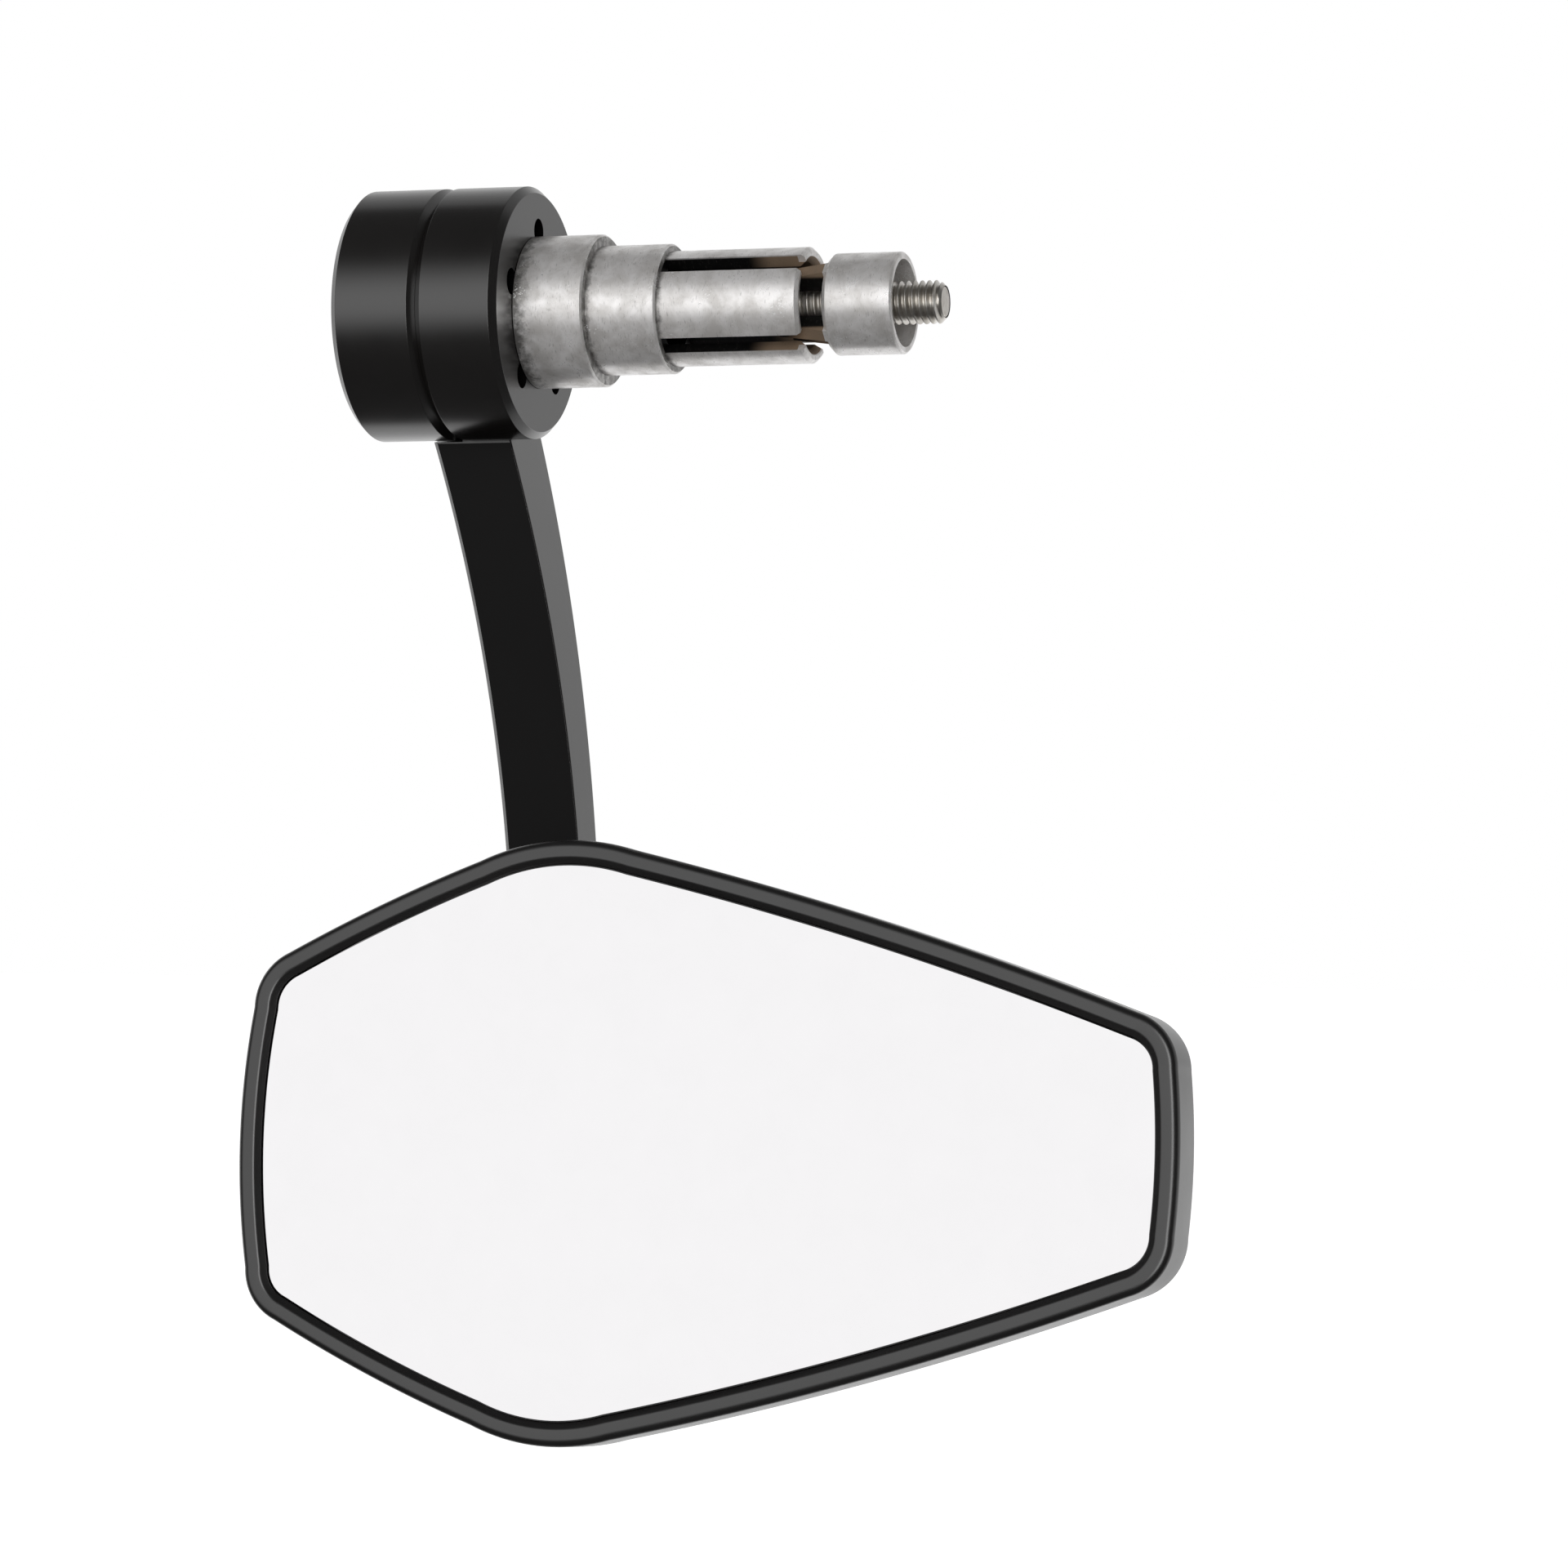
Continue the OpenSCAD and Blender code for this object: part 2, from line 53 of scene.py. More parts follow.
Point2 = Tuple[float, float]
Point3 = Tuple[float, float, float]
Window = Tuple[float, float, float, float]
Node = bpy.types.Node
Object = bpy.types.Object
Socket = bpy.types.NodeSocket
Tree = bpy.types.NodeTree

# Blender's names of the nodes used most, and of a soft step
MATH = "ShaderNodeMath"
MIX = "ShaderNodeMix"
NOISE = "ShaderNodeTexNoise"
RANGE = "ShaderNodeMapRange"
COMBINE = "ShaderNodeCombineXYZ"
SPLIT = "ShaderNodeSeparateXYZ"
SMOOTH = {"interpolation_type": "SMOOTHSTEP"}


class Body(Enum):
    """Moving bodies of the frame that a finished piece rides on."""

    INSERT = "bar_insert"
    SCREW = "screw"
    NUT = "nut"
    ARM = "arm_assembly"
    HEAD = "head"


class Slot(Enum):
    """Material slots of the record."""

    INSERT = "insert_metal"
    BLACK = "black_metal"
    HOUSING = "housing_metal"
    SCREW = "screw_steel"
    WASHER = "washer_steel"
    BLACK_SCREW = "black_screws"
    WHITE = "white_plastic"
    CARRIER = "black_plastic"
    PAD = "pad_foam"
    MIRROR = "mirror_face"


class Texture(Enum):
    """Kinds of surface detail that a finish can carry."""

    GRAIN = "fine grain alone"
    # CAST also brings painted shade at the sleeve's corners and inside its bore, and a painted brown
    # reflection near its open end and on the keys
    CAST = "grain, dents and wear of a casting"


class Ends(Enum):
    """What closes a skin of rings."""

    CAPPED = "a flat face on the first and last ring"
    OPEN = "nothing"
    JOINED = "the last ring joins the first"


class Work(Enum):
    """Boolean work on a mesh."""

    CUT = "DIFFERENCE"
    UNITE = "UNION"
    COMMON = "INTERSECT"


@dataclass(frozen=True)
class Finish:
    """One real finish.

    Args:
        name: Common name of the material and its finish.
        colour: Main colour as an sRGB hex string.
        shade: Second colour of the surface's slow variation.
        metallic: 1 for bare metal and 0 for coatings and plastics.
        roughness: Mean roughness.
        spread: Half range of the roughness variation.
        grain_mm: Width of the fine grain.
        patch_mm: Width of the slow variation.
        relief_mm: Height of the fine grain.
        ior: Refractive index of a coating or plastic.
        texture: Kind of surface detail.
        glow: Strength of the light that the surface gives off.
    """

    name: str
    colour: str
    shade: str
    metallic: float
    roughness: float
    spread: float
    grain_mm: float = 0.1
    patch_mm: float = 6.0
    relief_mm: float = 0.0
    ior: float = 1.5
    texture: Texture = Texture.GRAIN
    glow: float = 0.0


class Finishes(Enum):
    """Every finish of the object and its stage, with its values in the order of Finish."""

    # Dyed oxide layer on turned and edge-milled aluminium: near black, with the soft gloss of alumina
    ANODISED = Finish("Black anodised aluminium", "#110f0e", "#151312", 0, 0.25, 0.02, 0.09, 14, 0.0006, 1.78)
    # The same layer on milled flats: deeper black seen square on, grey at a low angle
    MILLED = Finish(
        "Matt black anodised aluminium", "#090808", "#0c0b0b", 0, 0.2, 0.02, 0.1, 18, 0.0004, 1.17
    )
    # Satin paint on the cast housing: a little greyer and softer than the anodising
    HOUSING = Finish(
        "Satin black painted aluminium", "#131212", "#171616", 0, 0.3, 0.03, 0.14, 20, 0.0008, 1.68
    )
    # Zinc casting, tumbled: its dull oxide skin scatters, so it is drawn part metallic
    ZINC = Finish(
        "Tumbled zinc casting", "#f8f6f5", "#d4d1ce", 0.52, 0.33, 0.06, 0.16, 3.0, 0.004, texture=Texture.CAST
    )
    # The same metal on the expander nut, handled less
    ZINC_NUT = Finish(
        "Zinc casting", "#f6f4f3", "#d4d1ce", 0.52, 0.32, 0.06, 0.16, 2.8, 0.003, texture=Texture.CAST
    )
    # Plain zinc plating on a rolled thread: grey and even
    SCREW = Finish("Zinc plated steel", "#dcd9d4", "#b8b3ab", 1, 0.34, 0.05, 0.12, 2.5, 0.002)
    # Bright plating on turned washers and nuts: darker, with sharper lights
    WASHER = Finish("Bright zinc plated steel", "#b9b8b4", "#98958f", 1, 0.27, 0.05, 0.12, 3, 0.002)
    # Oiled black oxide on the small screws: black, slightly glossy
    BLACK_SCREW = Finish("Black oxide steel", "#0c0b0b", "#131212", 0, 0.35, 0.04, 0.08, 2, 0.001)
    # Unpigmented acetal: waxy white
    ACETAL = Finish("White acetal", "#dcd9d0", "#d0ccc2", 0, 0.42, 0.04, 0.2, 5, 0.001, 1.48)
    # Glass filled nylon: matt black with a fine mould texture
    NYLON = Finish("Black nylon", "#101010", "#171717", 0, 0.5, 0.05, 0.2, 4, 0.003, 1.53)
    # Closed cell foam tape: dull, with open cut cells
    FOAM = Finish("Black foam tape", "#0e0e0e", "#181818", 0, 0.85, 0.05, 0.3, 3, 0.02, 1.45)
    # Chromed convex glass: clear reflections, a little darker than the light
    MIRROR = Finish("Silvered convex glass", "#d7d6d7", "#d6d5d6", 1, 0.02, 0.0)
    # Matt board of the studio floor, lit so that it meets the white backdrop
    FLOOR = Finish("Matt white board", "#f6f6f6", "#f3f3f3", 0, 0.9, 0.02, 2, 400, glow=0.8)


@dataclass(frozen=True)
class WearAndPaintedShade:
    """Marks and painted shade on the castings: sizes, X places and radii in millimetres, and sRGB colours."""

    blot: float = 1.3
    # Painted shade: where it ends along the sleeve from the eye, the feet of the steps it darkens, their
    # width and a small lead
    painted_shade_end: float = 3.0
    feet: Point2 = (10.1, 20.2)
    foot_w: float = 1.1
    play: float = 0.02
    # Painted bore shading: where it turns brown along X and by radius, how deep in it lies, and where it lies
    # on the sleeve and on the keys
    brown_x: Point2 = (32.0, 36.0)
    brown_r: Point2 = (5.5, 6.1)
    inside_r: Point2 = (7.9, 7.7)
    sleeve_x: Point2 = (20.21, 39.35)
    key_end: float = 43.2
    key_r: float = 6.75
    streak: float = 0.9
    chip: float = 0.34
    cluster: float = 3.4
    dent: float = 1.5
    # Colour of the painted shade
    painted_shade: str = "#3a3734"
    # Colours of the painted bore shading: brown reflection towards the open end, black deep in the bore,
    # black core
    brown: str = "#9a8570"
    deep: str = "#060505"
    core: str = "#0b0908"
    scratch: str = "#5e5b58"
    bright: str = "#f2f1f0"


WEAR_AND_PAINTED_SHADE = WearAndPaintedShade()


def linear(hex_colour: str) -> Tuple[float, float, float, float]:
    """Turns an sRGB hex string into linear RGBA.

    Args:
        hex_colour: Colour such as "#1b1a1a".

    Returns:
        Red, green, blue and alpha, in linear light.
    """
    channels = [int(hex_colour[i : i + 2], 16) / 255 for i in (1, 3, 5)]
    out = [c / 12.92 if c <= 0.04045 else ((c + 0.055) / 1.055) ** 2.4 for c in channels]
    return (out[0], out[1], out[2], 1.0)


def add_node(
    tree: Tree, kind: str, inputs: Optional[Dict[Union[int, str], object]] = None, **settings: object
) -> Node:
    """Adds one node, sets its options and fills its inputs.

    Args:
        tree: Node tree that gets the node.
        kind: Blender's type name of the node.
        inputs: By input name or index, a value, the socket that feeds it, or a node for its first output.
        **settings: Options of the node.

    Returns:
        The new node.
    """
    node = tree.nodes.new(kind)
    for key, value in settings.items():
        setattr(node, key, value)
    for key, value in (inputs or {}).items():
        if isinstance(value, bpy.types.Node):
            value = value.outputs[0]
        if isinstance(value, bpy.types.NodeSocket):
            tree.links.new(value, node.inputs[key])
        else:
            node.inputs[key].default_value = value
    return node


class MaterialLibrary:
    """Makes each finish once and hands it out by its enum member."""

    def __init__(self) -> None:
        """Starts with no material made."""
        self._made: Dict[Finishes, bpy.types.Material] = {}

    def get(self, which: Finishes) -> bpy.types.Material:
        """Returns the material of a finish.

        Args:
            which: The finish wanted.

        Returns:
            The Blender material.
        """
        if which not in self._made:
            self._made[which] = self._build(which.value)
            log.info("material %s", which.value.name)
        return self._made[which]

    def _build(self, f: Finish) -> bpy.types.Material:
        """Builds the node tree of one finish.

        Args:
            f: Description of the finish.

        Returns:
            The new material.
        """
        material = bpy.data.materials.new(f.name)
        material.use_nodes = True
        tree = material.node_tree
        tree.nodes.clear()
        coords = add_node(tree, "ShaderNodeTexCoord").outputs["Object"]
        slow = {"Scale": 1 / (f.patch_mm * MM), "Detail": 5.0, "Roughness": 0.58, "Distortion": 0.4}
        cloud = add_node(tree, NOISE, {"Vector": coords, **slow})
        share = add_node(tree, RANGE, {0: cloud, 1: 0.36, 2: 0.64})
        pair = {6: linear(f.colour), 7: linear(f.shade)}
        colour = add_node(tree, MIX, {0: share, **pair}, data_type="RGBA").outputs[2]
        limits = {1: 0.3, 2: 0.7, 3: f.roughness - f.spread, 4: f.roughness + f.spread}
        rough = add_node(tree, RANGE, {0: cloud, **limits}).outputs[0]
        if f.texture is Texture.CAST:
            colour, rough = self._cast_wear_and_painted_shade(tree, coords, colour, rough)
        feeds = {"Metallic": f.metallic, "IOR": f.ior, "Base Color": colour, "Roughness": rough}
        if f.glow > 0:
            feeds.update({"Emission Color": (1, 1, 1, 1), "Emission Strength": f.glow})
        if f.relief_mm > 0:
            height = self._relief(tree, coords, f)
            relief = {"Strength": 1.0, "Distance": f.relief_mm * MM, "Height": height}
            feeds["Normal"] = add_node(tree, "ShaderNodeBump", relief)
        shader = add_node(tree, "ShaderNodeBsdfPrincipled", feeds)
        add_node(tree, "ShaderNodeOutputMaterial", {"Surface": shader})
        return material

    @staticmethod
    def _cast_wear_and_painted_shade(tree: Tree, coords: Socket, colour: Socket, rough: Socket) -> Tuple[Socket, Socket]:
        """Adds painted shade where the sleeve meets the eye, at the feet of the steps and deep in the bore, a
        painted brown reflection towards the open end and on the keys, and the scratches and chips that years
        of use leave on a tumbled casting.

        Args:
            tree: Node tree that gets the nodes.
            coords: Coordinate socket in metres, with X along the insert.
            colour: Clean colour socket.
            rough: Clean roughness socket.

        Returns:
            The colour socket with its painted shade and marks, and the roughness socket.
        """
        w = WEAR_AND_PAINTED_SHADE
        colours = {"data_type": "RGBA"}
        along, y, z = add_node(tree, SPLIT, {0: coords}).outputs
        across = add_node(tree, COMBINE, {1: y, 2: z})
        radius = add_node(tree, "ShaderNodeVectorMath", {0: across}, operation="LENGTH").outputs[1]
        rough_spots = {"Scale": 1 / (w.blot * MM), "Detail": 6.0, "Roughness": 0.7}
        blot = add_node(tree, NOISE, {"Vector": coords, **rough_spots})
        # Painted shade where the large step meets the eye, broken up by the blots
        shade_mask = add_node(tree, RANGE, {0: along, 1: 0.0, 2: w.painted_shade_end * MM, 3: 0.5, 4: -0.06})
        # Painted shade also darkens the two corners at the feet of the steps
        for foot in w.feet:
            start, end = foot * MM, (foot + w.foot_w) * MM
            past = add_node(tree, MATH, {0: along, 1: start - w.play * MM}, operation="GREATER_THAN")
            fade = add_node(tree, RANGE, {0: along, 1: start, 2: end, 3: 0.4, 4: -0.06})
            here = add_node(tree, MATH, {0: past, 1: fade}, operation="MULTIPLY")
            shade_mask = add_node(tree, MATH, {0: shade_mask, 1: here}, operation="MAXIMUM")
        painted_shade = add_node(tree, MATH, {0: shade_mask, 1: blot}, operation="ADD")
        painted_shade_share = add_node(tree, RANGE, {0: painted_shade, 1: 0.6, 2: 0.95, 3: 0.0, 4: 0.8})
        # Painted shade inside the sleeve and on the nut's keys: black deep in the bore and on the keys'
        # sides, turning to a painted brown reflection towards the open end and on the keys' outer faces
        warm, crest, inside = (
            add_node(tree, RANGE, {0: place, 1: ends[0] * MM, 2: ends[1] * MM}, **settings)
            for place, ends, settings in (
                (along, w.brown_x, SMOOTH),
                (radius, w.brown_r, SMOOTH),
                (radius, w.inside_r, {}),
            )
        )
        painted_bore_shading = add_node(tree, MIX, {0: warm, 6: linear(w.deep), 7: linear(w.brown)}, **colours).outputs[2]
        painted_bore_shading = add_node(tree, MIX, {0: crest, 6: linear(w.core), 7: painted_bore_shading}, **colours).outputs[2]
        inner, outer, keys, core = (
            add_node(tree, MATH, {0: place, 1: limit * MM}, operation=test)
            for place, test, limit in (
                (along, "LESS_THAN", w.sleeve_x[1]),
                (along, "GREATER_THAN", w.sleeve_x[0]),
                (along, "LESS_THAN", w.key_end),
                (radius, "LESS_THAN", w.key_r),
            )
        )
        in_sleeve = add_node(tree, MATH, {0: inner, 1: outer}, operation="MULTIPLY")
        on_key = add_node(tree, MATH, {0: keys, 1: core}, operation="MULTIPLY")
        gate = add_node(tree, MATH, {0: in_sleeve, 1: on_key}, operation="MAXIMUM")
        painted_bore_shading_share = add_node(tree, MATH, {0: inside, 1: gate}, operation="MULTIPLY")
        # Scratches 0.05 mm wide are drawn 0.1 mm wide, so that they show
        slant = {"Vector": coords, "Rotation": (0.5, 0.3, 0.35), "Scale": (6.0, 1.0, 1.2)}
        drawn = add_node(tree, "ShaderNodeMapping", slant)
        streak = add_node(tree, NOISE, {"Vector": drawn, "Scale": 1 / (w.streak * MM), "Detail": 4.0})
        scratch = add_node(tree, RANGE, {0: streak, 1: 0.6, 2: 0.7, 3: 0.0, 4: 0.35})
        # Small bright chips in clusters, none of them on the painted bore shading
        chip = add_node(tree, "ShaderNodeTexVoronoi", {"Vector": coords, "Scale": 1 / (w.chip * MM)})
        cluster = add_node(tree, NOISE, {"Vector": coords, "Scale": 1 / (w.cluster * MM), "Detail": 2.0})
        limit = add_node(tree, RANGE, {0: cluster, 1: 0.5, 2: 0.7, 3: 0.0, 4: 0.36})
        chips = add_node(tree, MATH, {0: chip, 1: limit}, operation="LESS_THAN")
        clean = add_node(tree, MATH, {0: 1.0, 1: painted_bore_shading_share}, operation="SUBTRACT")
        chips = add_node(tree, MATH, {0: chips, 1: clean}, operation="MULTIPLY")
        # Lays on, in turn, the painted shade, the painted bore shading with its brown reflection, the
        # scratches and the chips
        for share, over in (
            (painted_shade_share, linear(w.painted_shade)),
            (painted_bore_shading_share, painted_bore_shading),
            (scratch, linear(w.scratch)),
            (chips, linear(w.bright)),
        ):
            colour = add_node(tree, MIX, {0: share, 6: colour, 7: over}, **colours).outputs[2]
        duller = add_node(tree, MATH, {0: painted_bore_shading_share, 1: 0.2, 2: rough}, operation="MULTIPLY_ADD")
        return colour, duller.outputs[0]

    @staticmethod
    def _relief(tree: Tree, coords: Socket, f: Finish) -> Node:
        """Adds the fine surface relief of a finish.

        Args:
            tree: Node tree that gets the nodes.
            coords: Coordinate socket in metres.
            f: The finish.

        Returns:
            The node that gives the height.
        """
        grain = add_node(tree, NOISE, {"Vector": coords, "Scale": 1 / (f.grain_mm * MM), "Detail": 3.0})
        if f.texture is not Texture.CAST:
            return grain
        dents = add_node(tree, NOISE, {"Vector": coords, "Scale": 1 / (WEAR_AND_PAINTED_SHADE.dent * MM), "Detail": 3.0})
        return add_node(tree, MATH, {0: dents, 1: 3.0, 2: grain}, operation="MULTIPLY_ADD")


MATERIALS = MaterialLibrary()


class MeshKit:
    """Makes plain meshes from profiles, rings and cutters."""

    @staticmethod
    def store(
        name: str, verts: Sequence[Point3], faces: Sequence[Sequence[int]], sharp: float = 32
    ) -> Object:
        """Stores a mesh given in millimetres.

        Args:
            name: Name of the piece.
            verts: Vertices in millimetres.
            faces: Faces as vertex indices, counter-clockwise from outside.
            sharp: Edges at a larger angle, in degrees, stay sharp.

        Returns:
            The linked object.
        """
        mesh = bpy.data.meshes.new(name)
        mesh.from_pydata([tuple(c * MM for c in v) for v in verts], [], [tuple(f) for f in faces])
        mesh.validate()
        obj = bpy.data.objects.new(name, mesh)
        bpy.context.scene.collection.objects.link(obj)
        MeshKit.tidy(obj, sharp)
        return obj

    @staticmethod
    def tidy(obj: Object, sharp: float = 32) -> None:
        """Merges doubles, turns faces outward and smooths shading.

        Args:
            obj: Mesh object.
            sharp: Edges at a larger angle, in degrees, stay sharp.
        """
        work = bmesh.new()
        work.from_mesh(obj.data)
        bmesh.ops.remove_doubles(work, verts=work.verts, dist=1e-7)
        bmesh.ops.recalc_face_normals(work, faces=work.faces)
        for face in work.faces:
            face.smooth = True
        work.to_mesh(obj.data)
        work.free()
        obj.data.set_sharp_from_angle(angle=math.radians(sharp))

    @staticmethod
    def soften(profile: Sequence[Point2], radius: float, steps: int = 3, closed: bool = True) -> List[Point2]:
        """Rounds the corners of a profile.

        Args:
            profile: Points of the line.
            radius: Rounding radius, cut down on short stretches.
            steps: Segments in each rounded corner.
            closed: True if the last point joins the first.

        Returns:
            The rounded profile.
        """
        out: List[Point2] = []
        count = len(profile)
        straight, short, most = math.radians(172), 1e-6, 0.45
        for i, p in enumerate(profile):
            if not closed and i in (0, count - 1):
                out.append(p)
                continue
            a, b, c = (Vector(profile[(i + k) % count]) for k in (-1, 0, 1))
            u, v = a - b, c - b
            angle = u.angle(v, math.pi)
            if angle > straight or min(u.length, v.length) < short:
                out.append(p)
                continue
            cut = min(radius / math.tan(angle / 2), u.length * most, v.length * most)
            p0, p1 = b + u.normalized() * cut, b + v.normalized() * cut
            for k in range(steps + 1):
                t = k / steps
                q = p0 * (1 - t) ** 2 + b * 2 * t * (1 - t) + p1 * t * t
                out.append((q.x, q.y))
        return out

    @staticmethod
    def circle(radius: float, segments: int) -> List[Point2]:
        """Gives the points of a circle about the origin."""
        turns = [2 * math.pi * k / segments for k in range(segments)]
        return [(radius * math.cos(t), radius * math.sin(t)) for t in turns]

    @staticmethod
    def lathe(name: str, profile: Sequence[Point2], segments: int, ends: Ends = Ends.JOINED) -> Object:
        """Revolves a profile of (x, radius) points about the X axis.

        Args:
            name: Name of the piece.
            profile: Points of the profile.
            segments: Steps round the axis.
            ends: JOINED for a ring-shaped section, or OPEN for one that starts and ends on the axis.

        Returns:
            The turned object.
        """
        levels = [[(x, y, z) for y, z in MeshKit.circle(r, segments)] for x, r in profile]
        return MeshKit.rings(name, levels, ends)

    @staticmethod
    def rings(
        name: str, levels: Sequence[Sequence[Point3]], ends: Ends = Ends.CAPPED, sharp: float = 32
    ) -> Object:
        """Skins closed rings of equal point count.

        Args:
            name: Name of the piece.
            levels: Rings in order.
            ends: What closes the skin.
            sharp: Edges at a larger angle stay sharp.

        Returns:
            The skinned object.
        """
        rows, count = len(levels), len(levels[0])
        faces: List[Sequence[int]] = []
        for i in range(rows if ends is Ends.JOINED else rows - 1):
            j = (i + 1) % rows
            for k in range(count):
                m = (k + 1) % count
                faces.append((i * count + k, i * count + m, j * count + m, j * count + k))
        if ends is Ends.CAPPED:
            faces.append(tuple(range(count)))
            faces.append(tuple((rows - 1) * count + k for k in reversed(range(count))))
        return MeshKit.store(name, [p for ring in levels for p in ring], faces, sharp)

    @staticmethod
    def rod(
        name: str, start: Point3, end: Point3, radius: float, segments: int = 48, bevel: float = 0.0
    ) -> Object:
        """Makes a round bar between two points.

        Args:
            name: Name of the piece.
            start: Centre of one end.
            end: Centre of the other end.
            radius: Radius of the bar.
            segments: Steps round the bar; 6 gives a hexagon.
            bevel: Chamfer on both ends.

        Returns:
            The bar.
        """
        a, b = Vector(start), Vector(end)
        way = (b - a).normalized()
        turn = way.to_track_quat("X", "Z").to_matrix()
        stops = [(a, radius), (b, radius)]
        if bevel > 0:
            step, low = way * bevel, radius - bevel
            stops = [(a, low), (a + step, radius), (b - step, radius), (b, low)]
        rings = []
        for centre, r in stops:
            rings.append([tuple(centre + turn @ Vector((0, y, z))) for y, z in MeshKit.circle(r, segments)])
        return MeshKit.rings(name, rings)

    @staticmethod
    def box(name: str, low: Point3, high: Point3) -> Object:
        """Makes a box between its lowest and its highest corner.

        Args:
            name: Name of the piece.
            low: Lowest corner.
            high: Highest corner.

        Returns:
            The box.
        """
        (x0, y0, z0), (x1, y1, z1) = low, high
        ring = [(y0, z0), (y1, z0), (y1, z1), (y0, z1)]
        return MeshKit.rings(name, [[(x, y, z) for y, z in ring] for x in (x0, x1)])

    @staticmethod
    def combine(obj: Object, others: Iterable[Object], work: Work = Work.CUT, sharp: float = 32) -> None:
        """Does boolean work on an object and removes the tools.

        Args:
            obj: Object that stays.
            others: Cutters or additions, removed afterwards.
            work: Kind of work.
            sharp: Edges at a larger angle stay sharp.
        """
        tools = list(others)
        for tool in tools:
            change = obj.modifiers.new("work", "BOOLEAN")
            change.operation = work.value
            change.solver = "EXACT"
            change.object = tool
        MeshKit.freeze(obj)
        for tool in tools:
            bpy.data.objects.remove(tool)
        MeshKit.tidy(obj, sharp)

    @staticmethod
    def settle(obj: Object) -> None:
        """Keeps large flats flat where small roundings meet them.

        Args:
            obj: Mesh object that gets weighted normals.
        """
        change = obj.modifiers.new("flats", "WEIGHTED_NORMAL")
        change.keep_sharp = True
        change.weight = 100
        MeshKit.freeze(obj)

    @staticmethod
    def freeze(obj: Object) -> None:
        """Turns modifiers into plain mesh.

        Args:
            obj: Object whose modifiers are applied and removed.
        """
        bpy.context.view_layer.update()
        graph = bpy.context.evaluated_depsgraph_get()
        mesh = bpy.data.meshes.new_from_object(obj.evaluated_get(graph))
        obj.modifiers.clear()
        obj.data = mesh

    @staticmethod
    def join(obj: Object, others: Sequence[Object], sharp: float = 32) -> None:
        """Adds other meshes to an object without boolean work.

        Args:
            obj: Object that stays.
            others: Objects taken in and removed.
            sharp: Edges at a larger angle stay sharp.
        """
        work = bmesh.new()
        work.from_mesh(obj.data)
        for other in others:
            work.from_mesh(other.data)
            bpy.data.objects.remove(other)
        work.to_mesh(obj.data)
        work.free()
        obj.data.set_sharp_from_angle(angle=math.radians(sharp))


